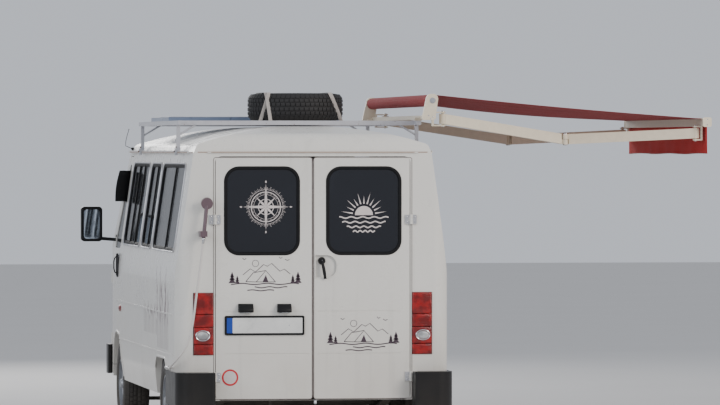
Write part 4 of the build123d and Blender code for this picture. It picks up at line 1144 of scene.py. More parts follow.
class VAN_OT_windows(bpy.types.Operator):
    """Set each window in its rubber, with the side windows' alloy frames and stiles"""

    bl_idname = "van.windows"
    bl_label = "Window frames"

    # rear window opening: centre across, centre height, width, height, corner
    rear = (0.35, 1.67, 0.514, 0.599, 0.1)
    # side windows: rear and front station of each, bottom and top, corner, and the frame's lap
    bays = ((0.29, 1.63), (1.73, 2.37), (2.48, 3.59))
    heights = (1.39, 1.985)
    corner = 0.07
    lap = 0.008
    stiles = (0.87, 1.99, 2.86, 3.18)
    # windscreen: its corners, 8 mm outside the opening, and their radius
    screen = ((0.809, 1.327), (0.731, 1.998), (-0.731, 1.998), (-0.809, 1.327))
    screen_corner = 0.092
    # profiles: aside, out
    rear_rubber = (
        (-0.004, LIFT), (0.0005, LIFT), (0.0005, -0.0057), (0.018, -0.0057), (0.0195, -0.003),
        (0.013, 0.004), (0.004, 0.0055), (-0.002, 0.004),
    )
    side_profiles = {
        "alloy": (
            (-0.003, LIFT), (0.0078, LIFT), (0.0078, 0.0065), (0.004, 0.0085), (-0.001, 0.0085),
            (-0.003, 0.004),
        ),
        "rubber": (
            (0.0082, -0.0056), (0.031, -0.0056), (0.032, -0.003), (0.024, 0.002), (0.012, 0.0045),
            (0.0082, 0.0045),
        ),
    }
    stile = (
        (-0.014, -0.0055), (0.014, -0.0055), (0.014, 0.002), (0.01, 0.004), (-0.01, 0.004),
        (-0.014, 0.002),
    )
    screen_rubber = ((-0.01, LIFT), (0.012, LIFT), (0.012, 0.005), (0.004, 0.008), (-0.006, 0.006))

    def execute(self, context):
        across, height, wide, tall, corner = self.rear
        for side, label in SIDES:
            body = "rear_door_" + label
            loop = loop_round(side * across, height, wide, tall, corner, 10)
            mesh = strip_mesh([loop], on_rear, self.rear_rubber, closed=True)
            add_piece("window_rubber_" + body, mesh, "rubber", body)
        for side, label in SIDES:
            self.side_frames(side, label)
        put = partial(front_hit, nodes=("front_panel", "body_glass"))
        loop = thickened(rounded_corners(self.screen, self.screen_corner), 0.05)
        mesh = strip_mesh([loop], put, self.screen_rubber, closed=True)
        add_piece("windscreen_rubber", mesh, "rubber")
        return {"FINISHED"}

    def side_frames(self, side, label):
        put = partial(side_point, side)
        low, high = self.heights
        lap = self.lap
        loops = [
            thickened(
                rounded_loop(rear - lap, front + lap, low - lap, high + lap, self.corner + lap, 6), 0.08
            )
            for rear, front in self.bays
        ]
        for finish, profile in self.side_profiles.items():
            mesh = strip_mesh(loops, put, [(a * side, b) for a, b in profile], closed=True)
            add_piece(f"side_window_{finish}_{label}", mesh, finish, smooth=40.0)
        bars = [[(station, low + (high - low) * k / 8) for k in range(9)] for station in self.stiles]
        add_piece(f"side_window_stiles_{label}", strip_mesh(bars, put, self.stile), "rubber")


class VAN_OT_rear_doors(bpy.types.Operator):
    """Fit the rear doors' plate, lamps, handle, window art, stickers and screws"""

    bl_idname = "van.rear_doors"
    bl_label = "Rear doors"

    # number plate: low and high across, bottom and top; then its blue band and its frame
    plate = (0.0595, 0.607, 0.824, 0.957)
    band = 0.04
    inset = 0.0145
    plate_rim = ((-0.005, 0.0072), (0.005, 0.0072), (0.004, 0.0115), (-0.003, 0.0115))
    # plate lamps: low and high across, bottom and top
    hoods = ((0.412, 0.5145, 0.98, 1.039), (0.151, 0.247, 0.979, 1.0375))
    # compass rose: centre, then the radius and width of its rings
    rose = (0.3226, 1.6968)
    rings = ((0.117, 0.0022), (0.101, 0.006), (0.084, 0.002), (0.052, 0.0045))
    # sunset: centre, then below it, half length and shift of each wave
    sun = (-0.3515, 1.64)
    waves = ((0.016, 0.17, 0.0), (0.048, 0.15, 1.4), (0.08, 0.118, 0.6), (0.11, 0.076, 2.2))
    sticker = (0.569, 0.537)
    # lower left corner of each line drawing, and its body
    drawings = ((0.075, 1.114, "rear_door_left"), (-0.6, 0.703, "rear_door_right"))
    drawing_size = (0.508, 0.242)
    # handle: its recess (near and far across, bottom, top, radius) and depth, then lock and
    # lever end (across, height), and the profiles of barrel and rim
    recess = (-0.014, -0.165, 1.212, 1.37, 0.07)
    lock = (-0.062, 1.329)
    lever_end = (-0.083, 1.206)
    recess_depth = 0.016
    barrel = (
        (0, 0), (0, 0.026), (0.01, 0.0255), (0.022, 0.0215), (0.026, 0.019), (0.027, 0.012),
        (0.024, 0.01), (0.024, 0.0),
    )
    handle_rim = ((-0.004, LIFT), (0.0035, LIFT), (0.003, 0.0022), (-0.003, 0.0022))
    key_slot = (Vector((-0.0018, 0.0242, -0.007)), Vector((0.0018, 0.0262, 0.007)))
    # door stop: place, the ball's profile, the tab's corners
    knob = (-0.014, 0.363)
    ball = (
        (-0.012, 0), (-0.0105, 0.006), (-0.006, 0.0105), (0, 0.012), (0.006, 0.0105),
        (0.012, 0.007), (0.019, 0.007), (0.019, 0),
    )
    tab = (Vector((-0.014, -0.026, 0.0165)), Vector((0.014, 0.012, 0.0195)))
    # each door: inner and outer edge, bottom and top; then the heights of its hinges
    door = (0.006, 0.682, 0.389, 2.033)
    hinges = (0.54, 1.611)
    # hinge leaves: near and far edge and the screws' line, for the door's leaf and the post's
    leaves = {"leaf": (0.634, 0.664, 0.649), "post": (0.6845, 0.714, 0.6995)}

    def execute(self, context):
        self.number_plate()
        self.lamp_hoods()
        self.compass_rose()
        self.sunset()
        for across, height, body in self.drawings:
            self.drawing(across, height, body)
        disc = patch_mesh([circle(self.sticker, 0.057)], on_rear, 0.0004)
        ring = line_mesh([circle(self.sticker, 0.0505)], 0.0125, on_rear, 0.0008, closed=True)
        add_piece("round_sticker", disc, "vinyl_white", "rear_door_left")
        add_piece("sticker_ring", ring, "vinyl_red", "rear_door_left")
        self.handle()
        self.hinge_screws()
        place = spot(self.knob[0], -0.01, self.knob[1])
        tab = box_mesh(*(place + corner for corner in self.tab), 0.001)
        add_piece("door_stop", [turned(self.ball, place, (0, 0, 1), 20), tab], "alloy")
        self.edge_seals()
        return {"FINISHED"}

    def number_plate(self):
        low, high, bottom, top = self.plate
        body = "rear_door_left"
        backing = patch_mesh([rounded_loop(low, high, bottom, top, 0.012)], on_rear, 0.007)
        loop = rounded_loop(low + 0.005, high - 0.005, bottom + 0.005, top - 0.005, 0.01)
        rim = strip_mesh([loop], on_rear, self.plate_rim, closed=True)
        add_piece("plate_frame", [backing, rim], "black_plastic", body)
        inset = self.inset
        seam = high - inset - self.band
        for name, ends, finish in (
            ("blank_plate", (low + inset, seam), "plate"),
            ("plate_band", (seam, high - inset), "plate_blue"),
        ):
            loop = rounded_loop(*ends, bottom + inset, top - inset, 0.004, 3)
            add_piece(name, patch_mesh([loop], on_rear, 0.0018, 0.0075), finish, body)
        head = screw(0.0045, (0, 0, 0), (0, 1, 0))
        place = spot(high - 0.1, -0.0093, (bottom + top) / 2)
        add_piece("plate_screws", row_of(head, "bright", 2, (-0.347, 0, 0), place), "bright", body)

    def lamp_hoods(self):
        """Hoods with a sloped brow, each over its lens."""
        hoods = []
        lenses = []
        for low, high, bottom, top in self.hoods:
            profile = (
                (LIFT, bottom), (0.04, bottom), (0.046, bottom + 0.008), (0.044, bottom + 0.022),
                (0.026, top - 0.008), (0.014, top), (LIFT, top),
            )
            rings = [[spot(end, -out, height) for out, height in profile] for end in (low, high)]
            hoods.append(bevelled(lofted(rings), 0.0035))
            near = spot(low + 0.012, -0.006, bottom + 0.002)
            lenses.append(box_mesh(near, spot(high - 0.012, -0.034, bottom - 0.004), 0.002))
        add_piece("plate_lamp_hoods", hoods, "black_plastic", "rear_door_left")
        add_piece("plate_lamp_lenses", lenses, "lamp_clear", "rear_door_left")

    def compass_rose(self):
        """A plain compass rose: rings, ticks and eight points."""
        centre = self.rose
        ticks = []
        for k in range(72):
            inner, outer = (0.119, 0.134) if k % 2 else (0.121, 0.128)
            outer = 0.14 if k % 6 == 3 else outer
            ticks.append(about(centre, math.radians(5 * k), ((inner, 0), (outer, 0))))
        parts = [line_mesh(ticks, 0.0022, on_glass)]
        for radius, width in self.rings:
            parts.append(line_mesh([circle(centre, radius)], width, on_glass, closed=True))
        middles = [about(centre, math.radians(15 * k + 7.5), ((0.0925, 0),))[0] for k in range(24)]
        parts.append(patch_mesh([circle(middle, 0.0024, 8) for middle in middles], on_glass))
        kites = []
        for k in range(8):
            turn = math.radians(45 * k)
            if k % 2:
                kites.append(self.kite(centre, turn, 0.098, 0.026, 0.0085))
                continue
            end = about(centre, turn, ((0.171, 0),))[0]
            kites.append(self.kite(centre, turn, 0.158, 0.03, 0.0105))
            kites += [self.kite(end, turn + way, 0.01, 0.0, 0.006) for way in (0, math.pi)]
        parts.append(patch_mesh(kites, on_glass, 0.0007, 0.0007))
        add_piece("compass_rose", parts, "vinyl_white", "rear_door_left")

    @staticmethod
    def kite(centre, turn, tip, waist, half):
        return about(centre, turn, ((0, 0), (waist, -half), (tip, 0), (waist, half)))

    def sunset(self):
        """A half sun with rays over waves, cut from white film."""
        across, height = self.sun
        shapes = [circle(self.sun, 0.062, 28, 0, 180)]
        for k in range(11):
            outer = 0.132 if k % 2 else 0.158
            rows = ((0.078, -0.0052), (outer, 0), (0.078, 0.0052))
            shapes.append(about(self.sun, math.radians(9 + 16.2 * k), rows))
        waves = [
            [
                (across + half * (2 * k / 30 - 1), height - level + 0.0055 * math.sin(k * 0.9 + shift))
                for k in range(31)
            ]
            for level, half, shift in self.waves
        ]
        parts = [line_mesh(waves, 0.0085, on_glass), patch_mesh(shapes, on_glass)]
        add_piece("sunset_film", parts, "vinyl_white", "rear_door_right")

    def drawing(self, low, bottom, body):
        """A line drawing of a tent between firs under hills, in dark film."""
        wide, tall = self.drawing_size

        def at(*rows):
            return [(low + wide * a, bottom + tall * b) for a, b in rows]

        thin = [
            at((0.16, 0.52), (0.24, 0.66), (0.3, 0.6), (0.41, 0.82), (0.47, 0.74), (0.52, 0.79),
               (0.63, 0.58), (0.7, 0.67), (0.8, 0.5)),
            at((0.36, 0.3), (0.49, 0.62), (0.62, 0.3)),
            at((0.49, 0.62), (0.66, 0.56), (0.76, 0.31)),
            at((0.62, 0.3), (0.76, 0.31)),
            at((0.36, 0.3), (0.62, 0.3)),
        ]
        # birds: across, height, half span
        for a, b, size in ((0.2, 0.9, 0.03), (0.29, 0.96, 0.022), (0.78, 0.93, 0.026)):
            thin.append(at((a - size, b + 0.03), (a, b), (a + size, b + 0.04)))
        # ground lines: start, run, steps, level, swing, rate, shift
        ground = [
            at(*((start + run * k / steps, level + swing * math.sin(k * rate + shift))
                 for k in range(steps + 1)))
            for start, run, steps, level, swing, rate, shift in (
                (0.04, 0.92, 24, 0.245, 0.018, 0.7, 0),
                (0.2, 0.44, 14, 0.15, 0.016, 0.9, 1),
                (0.38, 0.36, 12, 0.065, 0.014, 0.8, 0),
            )
        ]
        shapes = []
        for a, size in ((0.055, 1.0), (0.125, 0.72), (0.945, 1.0), (0.875, 0.66)):
            for level in range(3):
                half = (0.05 - 0.011 * level) * size
                base = 0.27 + 0.085 * level * size
                shapes.append(at((a - half, base), (a + half, base), (a, base + 0.15 * size)))
        shapes.append(at((0.455, 0.3), (0.49, 0.5), (0.535, 0.3)))
        moon = circle(*at((0.63, 0.82)), 0.022, 20)
        parts = [
            line_mesh(thin, 0.0046, on_rear, 0.0004),
            line_mesh(ground, 0.0072, on_rear, 0.0004),
            line_mesh([moon], 0.0032, on_rear, 0.0004, closed=True),
            patch_mesh(shapes, on_rear, 0.0005),
        ]
        add_piece("camp_drawing_" + body, parts, "vinyl_dark", body)

    def handle(self):
        """A lock barrel and a hanging lever in the recess, with a thin bezel round it."""
        body = "rear_door_right"
        depth = self.recess_depth - LIFT
        foot = spot(self.lock[0], depth, self.lock[1])
        start, end = Vector(self.lock), Vector(self.lever_end)
        count = 8
        rings = []
        for k in range(count + 1):
            share = k / count
            middle = start.lerp(end, share)
            half = 0.0085 + 0.0035 * math.sin(share * math.pi) + (0.002 if k == count else 0)
            out = 0.02 + 0.014 * math.sin(share * math.pi * 0.85)
            rows = ((-half, 0.0), (half, 0.0), (half * 0.8, 0.009), (-half * 0.8, 0.009))
            rings.append([spot(middle.x + a, depth - out - b, middle.y) for a, b in rows])
        # the recess is straight beside the seam and round at the other side
        near, far, low, high, radius = self.recess
        loop = [(near, low), (near, high)]
        loop += circle((far + radius, high - radius), radius, 8, 90, 90)
        loop += circle((far + radius, low + radius), radius, 8, 180, 90)
        bezel = thickened(loop, 0.02)
        add_piece("door_lock", turned(self.barrel, foot, (0, 1, 0), 32), "black_plastic", body)
        add_piece("door_lever", bevelled(lofted(rings), 0.0016), "black_plastic", body)
        add_piece(
            "handle_bezel", strip_mesh([bezel], on_rear, self.handle_rim, closed=True), "paint", body
        )
        add_piece("key_slot", box_mesh(*(foot + corner for corner in self.key_slot)), "steel", body)

    def hinge_screws(self):
        for side, label in SIDES:
            door = "rear_door_" + label
            for leaf, (_, _, across) in self.leaves.items():
                heads = []
                for height in self.hinges:
                    head = screw(0.0045, (0, 0, 0), (0, 1, 0))
                    place = spot(side * across, -0.0095, height - 0.018)
                    heads.append(row_of(head, "bright", 2, (0, 0, 0.036), place))
                rider = door if leaf == "leaf" else "body"
                add_piece(f"hinge_screws_{leaf}_{door}", heads, "bright", rider)

    def edge_seals(self):
        """A thin seal on each door's edge, and a metal cover on each hinge leaf."""
        low, high, bottom, top = self.door
        put = partial(on_rear, depth=-0.008)
        for side, label in SIDES:
            door = "rear_door_" + label
            loop = rounded_loop(*sorted((side * low, side * high)), bottom, top, 0.014, 4)
            seal = line_mesh([loop], 0.004, on_rear, 0.0012, closed=True)
            add_piece("edge_seal_" + door, seal, "grey_rubber", door)
            for leaf, (near, far, _) in self.leaves.items():
                middle = side * (near + far) / 2
                plates = [loop_round(middle, b, far - near, 0.062, 0.005, 3) for b in self.hinges]
                rider = door if leaf == "leaf" else "body"
                add_piece(f"hinge_cover_{leaf}_{door}", patch_mesh(plates, put, 0.0014), "alloy", rider)


class VAN_OT_awning(bpy.types.Operator):
    """Hang the awning's cloth and valance, with the screws and the pivots' covers"""

    bl_idname = "van.awning"
    bl_label = "Awning"

    # the cloth: roll and bar (to the right, height), near and far end, and its grid
    roll = (0.858, 2.4645)
    bar = (2.7585, 2.3)
    ends = (0.235, 2.955)
    rows = 64
    columns = 84
    thickness = 0.0014
    # the valance: to the right, bottom and top, near and far end, its hem and its grid
    valance = (2.7865, 2.058, 2.2475, 0.222, 2.968)
    hem = 0.014
    skirt_rows = 12
    skirt_columns = 110
    # the arms: link length, spread when open and fold between open and shut
    link = 0.9028
    spread = math.radians(10.2)
    fold = math.radians(72)
    # near and far end of the bar and the case, with the way out of the screws' faces
    faces = ((0.2, 1), (2.99, -1))
    plate_screws = ((0.83, 2.32), (0.862, 2.312), (0.846, 2.3))
    plate_disc = ((0, 0), (0, 0.02), (0.002, 0.0205), (0.0045, 0.018), (0.005, 0))
    # pivot covers: body, name, across, height
    pivots = (("body", "shoulder", -0.945, 2.298), ("awning_front_bar", "wrist", -2.722, 2.2))
    pivot_stations = (0.3, 2.89)
    pivot_cap = ((0, 0), (0, 0.0125), (0.003, 0.012), (0.0055, 0.008), (0.006, 0))
    elbow = (-1.8335, 2.158)
    elbow_run = 0.8885
    elbow_cap = ((0, 0), (0, 0.0175), (0.003, 0.017), (0.0065, 0.012), (0.007, 0))

    def execute(self, context):
        self.cloth()
        self.skirt()
        self.fittings()
        return {"FINISHED"}

    def across(self, share):
        return self.roll[0] + (self.bar[0] - self.roll[0]) * share

    def height(self, share, along):
        """The cloth's height: it sags most in its middle and away from the near edge."""
        start, end = self.roll[1], self.bar[1]
        bow = math.sin(math.pi * share)
        slack = sizes().cloth_sag * (0.25 + 0.75 * math.sin(math.pi * min(along * 0.62 + 0.05, 1.0)))
        ripple = 0.0022 * math.sin(along * 38 + 1.2) * bow + 0.0016 * math.sin(along * 71) * bow
        return start + (end - start) * share - bow * slack + ripple

    def cloth(self):
        first, last = self.ends

        def at(column, row):
            along, share = column / self.columns, row / self.rows
            return spot(-self.across(share), first + (last - first) * along, self.height(share, along))

        mesh = grid_mesh(self.columns, self.rows, at)
        piece = add_piece("awning_cloth", mesh, "awning_cloth", smooth=60.0, replaces="awning_fabric")
        thicken(piece, self.thickness)
        middle = [(self.across(i / 64), self.height(i / 64, 0.5)) for i in range(65)]
        length = sum(math.dist(a, b) for a, b in zip(middle, middle[1:]))
        spot(-self.roll[0], 0, self.roll[1])
        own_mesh(piece)

    def skirt(self):
        across, low, high, first, last = self.valance
        columns, rows = self.skirt_columns, self.skirt_rows

        def at(column, row, lift=0.0):
            along, share = column / columns, row / rows
            wave = (0.0032 * math.sin(along * 26 + 0.6) + 0.0018 * math.sin(along * 61)) * share
            drop = low + 0.0025 * math.sin(along * 17)
            height = high + (drop - high) * share + lift
            return spot(-across - wave, first + (last - first) * along, height)

        def add(name, mesh, finish, smooth, **labels):
            return add_piece(name, mesh, finish, "awning_front_bar", smooth, **labels)

        mesh = grid_mesh(columns, rows, at)
        skirt = add("awning_skirt", mesh, "valance_cloth", 60.0, replaces="awning_valance")
        thicken(skirt, self.thickness)
        half = self.hem / 2
        line = [at(column, rows, half) for column in range(columns + 1)]
        profile = rounded_loop(-half, half, -0.0014, 0.0014, 0.0009, 2)
        band = swept(line, [Vector((-1, 0, 0))] * len(line), profile)
        piping = round_bar([point - Vector((0, 0, half)) for point in line], 0.0022, 6)
        edges = [
            add("skirt_hem", band, "valance_cloth", 30.0),
            add("skirt_piping", piping, "webbing", 60.0, slot="awning_cloth"),
        ]

    def fittings(self):
        """Screws on the bar's ends and the end plates, and covers on the pivots and elbows."""
        bar = []
        plates = []
        for station, way in self.faces:
            face = station - way * 0.0004
            for rise in (-0.018, 0.018):
                bar.append(screw(0.0045, spot(-2.785, face, 2.277 + rise), (0, way, 0)))
            for across, height in self.plate_screws:
                plates.append(screw(0.005, spot(-across, face, height), (0, way, 0)))
            plates.append(turned(self.plate_disc, spot(-0.858, station, 2.424), (0, way, 0), 32))
        add_piece("bar_end_screws", bar, "bright", "awning_front_bar")
        add_piece("end_plate_screws", plates, "bright")
        for body, label, across, height in self.pivots:
            caps = [
                turned(self.pivot_cap, spot(across, station, height + way * 0.05), (0, 0, way), 24)
                for station in self.pivot_stations
                for way in (1, -1)
            ]
            add_piece(label + "_pin_caps", caps, "bright", body)
        offset = self.elbow_run * math.tan(self.spread)
        near, far = self.pivot_stations
        for end, station in (("near", near + offset), ("far", far - offset)):
            for arm, way in (("inner", -1), ("outer", 1)):
                place = spot(self.elbow[0], station, self.elbow[1] + way * 0.0355)
                body = f"arm_{end}_{arm}"
                cap = turned(self.elbow_cap, place, (0, 0, way), 24)
                add_piece("elbow_cap_" + body, cap, "bright", body)


class VAN_OT_seats(bpy.types.Operator):
    """Swell the seats' and the bench's cushions with a cloth simulation, on their frames"""

    bl_idname = "van.seats"
    bl_label = "Seats"

    seat_x = 0.38
    seat_rear = 3.08
    # name, half width, then (station, height) corners from low rear, counterclockwise
    parts = (
        ("cushion", 0.235, ((0.01, 0.8), (0.51, 0.8), (0.515, 0.905), (0.01, 0.88))),
        ("back", 0.225, ((-0.06, 0.905), (0.035, 0.905), (-0.098, 1.465), (-0.18, 1.455))),
        ("headrest", 0.12, ((-0.192, 1.515), (-0.113, 1.525), (-0.138, 1.675), (-0.212, 1.67))),
    )
    slab = ((0, 1, 2, 3), (7, 6, 5, 4), (0, 1, 5, 4), (1, 2, 6, 5), (2, 3, 7, 6), (3, 0, 4, 7))
    # name, lowest and highest (across, station, height)
    bench = (
        ("bench_cushion", (-0.38, 0.775, 0.78), (0.63, 1.31, 0.892)),
        ("bench_back", (-0.38, 0.65, 0.905), (0.63, 0.75, 1.33)),
    )
    # the bench's box: two corners and the rounding of each board
    boards = (
        ((-0.385, 0.765, 0.5005), (0.635, 1.315, 0.762), 0.004),
        ((-0.385, 0.645, 0.5005), (0.635, 0.758, 0.89), 0.004),
        ((-0.389, 0.76, 0.763), (0.639, 1.319, 0.776), 0.003),
    )
    # a seat's pedestal and runners: (across from the inner side, station, height) corners
    pedestal = (
        ((0.02, 0.06, 0.5005), (0.33, 0.46, 0.74)),
        ((0.03, 0.03, 0.742), (0.07, 0.48, 0.772)),
        ((0.28, 0.03, 0.742), (0.32, 0.48, 0.772)),
    )
    # the pedestal's inner side on the right and on the left, its top plate and the headrest's bars
    inner = {-1: -0.5, 1: 0.15}
    top = ((-0.2, 0.02, 0.773), (0.2, 0.49, 0.786))
    bar_shifts = (-0.055, 0.055)
    bar = ((-0.138, 1.455), (-0.152, 1.53))
    # the cushions' mesh size, the pressure in them, its frames and the most that it may move
    voxel = 0.016
    pressure = 4.0
    frames_run = 12
    cap = 0.012

    def execute(self, context):
        for side, label in ((-1, "passenger"), (1, "driver")):
            for name, half, outline in self.parts:
                ends = (side * self.seat_x - half, side * self.seat_x + half)
                corners = [spot(end, self.seat_rear + s, z) for end in ends for s, z in outline]
                mesh = bevelled(mesh_of(corners, self.slab), 0.022)
                self.cushion(context, f"{label}_{name}", mesh, "seat_cloth", 0.75, "cab_seats")
        for name, low, high in self.bench:
            mesh = box_mesh(spot(*low), spot(*high), 0.03)
            self.cushion(context, name, mesh, "bench_cloth", 0.85, "rear_bench")
        self.frames()
        return {"FINISHED"}

    def cushion(self, context, name, mesh, finish, fill, node):
        piece = add_piece(name, self.swollen(context, mesh), finish, smooth=80.0, replaces=node)
        smooth = piece.modifiers.new("round", "SUBSURF")
        smooth.levels = 1
        smooth.render_levels = 1

    def swollen(self, context, mesh):
        """Blow the closed mesh up a little under pressure, and return the result."""
        holder = linked("swelling", mesh)
        remesh = holder.modifiers.new("remesh", "REMESH")
        remesh.mode = "VOXEL"
        remesh.voxel_size = self.voxel
        dense = plain_copy(holder)
        start = [v.co.copy() for v in dense.vertices]
        puffed = linked("puffed", dense)
        cloth = puffed.modifiers.new("cloth", "CLOTH")
        cloth.settings.use_pressure = True
        cloth.settings.uniform_pressure_force = self.pressure
        cloth.settings.effector_weights.gravity = 0.0
        for number in range(1, self.frames_run + 1):
            context.scene.frame_set(number)
        result = plain_copy(puffed)
        context.scene.frame_set(1)
        for vertex, origin in zip(result.vertices, start):
            step = vertex.co - origin
            if step.length > self.cap:
                vertex.co = origin + step * (self.cap / step.length)
        return result

    def frames(self):
        """The seats' steel pedestals and runners, and the bench's timber box."""
        steel = []
        rear = self.seat_rear
        for side in (-1, 1):
            rows = [(self.inner[side], *row) for row in self.pedestal]
            for start, low, high in (*rows, (side * self.seat_x, *self.top)):
                ends = [spot(start + a, rear + b, c) for a, b, c in (low, high)]
                steel.append(box_mesh(*ends, 0.005))
            for shift in self.bar_shifts:
                across = side * self.seat_x + shift
                steel.append(round_bar([spot(across, rear + b, c) for b, c in self.bar], 0.006))
        add_piece("seat_pedestals", steel, "black_plastic", replaces="cab_seats")
        boards = [box_mesh(spot(*low), spot(*high), bevel) for low, high, bevel in self.boards]
        add_piece("bench_box", boards, "timber", replaces="rear_bench")


class VAN_OT_lamps(bpy.types.Operator):
    """Build the tail lamps' lenses, and the front's lamp rims, indicators, slats and plate"""

    bl_idname = "van.lamps"
    bl_label = "Lamps and front trim"

    # tail lamps: low and high across, and the heights that part the lenses
    tail = (0.681, 0.821)
    splits = (0.69, 0.762, 0.878, 0.966, 1.114)
    # ribs on the lenses: the lowest one's height and their number, then size and step
    ribs = ((1.000, 13), (0.892, 8), (0.704, 6))
    rib = ((-0.057, 0, 0), (0.057, 0.0018, 0.0032))
    rib_step = 0.0082
    # reversing lamps: centre across, centre height, half width, half height
    reverse = (0.757, 0.822, 0.047, 0.034)
    ring = ((-0.0045, 0), (0.0045, 0), (0.003, 0.0045), (0, 0.006), (-0.003, 0.0045))
    # headlamps: centre across, centre height, width, height
    headlamp = (0.64, 0.8, 0.25, 0.172)
    rim = ((-0.005, LIFT), (0.005, LIFT), (0.003, 0.005), (-0.003, 0.005))
    rim_inset = 0.008
    bowl = 0.058
    # front indicators: centre across, centre height, width, height
    indicator = (0.822, 0.8, 0.068, 0.13)
    # grille: corners of a slat, the lowest one's height, their step and number
    slat = ((-0.452, 0, 0), (0.452, -0.006, 0.0075))
    slat_rows = (0.727, 0.0198, 8)
    front_plate = (-0.26, 0.26, 0.415, 0.525)
    # wipers: pivot and tip across, height of the pivots, the blade's height and rise
    wipers = ((0.43, -0.06), (-0.2, -0.68))
    pivot_height = 1.312
    blade = (1.375, 0.045)
    wiper_hub = ((0, 0), (0, 0.014), (0.014, 0.012), (0.018, 0.006), (0.018, 0))

    def execute(self, context):
        self.tail_lamps()
        self.front_lamps()
        low, step, count = self.slat_rows
        place = Vector((MID_X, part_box("grille")[0].y - LIFT, low))
        slat = box_mesh(*self.slat, 0.0025)
        row = row_of(slat, "black_plastic", count, (0, 0, step), place)
        add_piece("grille_slats", row, "black_plastic")
        face = front_hit(0, 0.47, ("bumpers",))[0].y
        sheet = patch_mesh(
            [rounded_loop(*self.front_plate, 0.006, 3)],
            lambda a, b: (Vector((MID_X + a, face, b)), Vector((0, -1, 0))),
            0.003,
        )
        add_piece("front_plate", sheet, "plate")
        self.wiper_arms()
        return {"FINISHED"}

    def tail_lamps(self):
        housings = []
        lenses = []
        ribs = []
        domes = []
        rings = []
        low, high = self.tail
        bottom, top = self.splits[0] + 0.0005, self.splits[-1] - 0.0005
        for side in (1, -1):
            near = spot(side * (low + 0.0005), 0.017, bottom)
            housings.append(box_mesh(near, spot(side * (high - 0.0005), -0.003, top), 0.004))
            for below, above in zip(self.splits, self.splits[1:]):
                near = spot(side * (low + 0.0025), 0.01, below + 0.001)
                far = spot(side * (high - 0.0025), -0.0125, above - 0.001)
                lenses.append(box_mesh(near, far, 0.008, 4))
            across, height, half_a, half_b = self.reverse
            inner = (Vector((half_a - 0.006, 0, 0)), Vector((0, 0, half_b - 0.006)))
            middle = spot(side * across, -0.0122, height)
            domes.append(dome_mesh(middle, *inner, Vector((0, 1, 0)), 0.0085))
            oval = [(side * across + half_a * a, height + half_b * b) for a, b in circle((0, 0), 1.0)]
            rings.append(strip_mesh([oval], partial(on_rear, depth=-0.0122), self.ring, closed=True))
            for start, count in self.ribs:
                rib = box_mesh(*self.rib, 0.0007, 1)
                place = spot(side * (low + high) / 2, -0.0119, start)
                ribs.append(row_of(rib, "lamp_red", count, (0, 0, self.rib_step), place))
        add_piece("tail_lamp_housings", housings, "lamp_dark", replaces="tail_lamps")
        add_piece("tail_lamp_lenses", lenses + ribs, "lamp_red", replaces="tail_lamps")
        add_piece("reversing_lenses", domes, "lamp_clear")
        add_piece("reversing_rings", rings, "bright")

    def front_lamps(self):
        across, height, wide, tall = self.headlamp
        size = (wide - 2 * self.rim_inset, tall - 2 * self.rim_inset)
        put = partial(front_hit, nodes=("headlamps",))
        rims = []
        bowls = []
        indicators = []
        for side in (1, -1):
            middle = side * across
            loop = loop_round(middle, height, *size, 0.018, 5)
            rims.append(strip_mesh([loop], put, self.rim, closed=True))
            place, out = put(middle, height)
            spokes = (Vector((self.bowl, 0, 0)), Vector((0, 0, self.bowl)))
            bowls.append(dome_mesh(place, *spokes, out, 0.006))
            centre, *spread = self.indicator
            loop = loop_round(side * centre, *spread, 0.012, 4)
            indicators.append(patch_mesh([loop], front_hit, 0.012))
        add_piece("headlamp_rims", rims, "bright")
        add_piece("headlamp_bowls", bowls, "lamp_clear")
        add_piece("front_indicators", indicators, "lamp_amber")

    def wiper_arms(self):
        """Two arms from the scuttle, each with its blade on the screen."""
        parts = []
        put = partial(front_hit, nodes=("body_glass", "front_panel"))
        low, rise = self.blade
        for pivot, tip in self.wipers:
            foot, out = put(pivot, self.pivot_height)
            hits = [put(pivot + (tip - pivot) * k / 8, low + rise * k / 8) for k in range(9)]
            line = [point + normal * 0.006 for point, normal in hits]
            middle = line[4]
            arm = [foot + out * 0.012, (foot + middle) / 2 + out * 0.022, middle + out * 0.008]
            parts.append(turned(self.wiper_hub, foot, out, 16))
            parts += [round_bar(points, 0.0045, 8) for points in (arm, line)]
        add_piece("wipers", parts, "black_plastic")


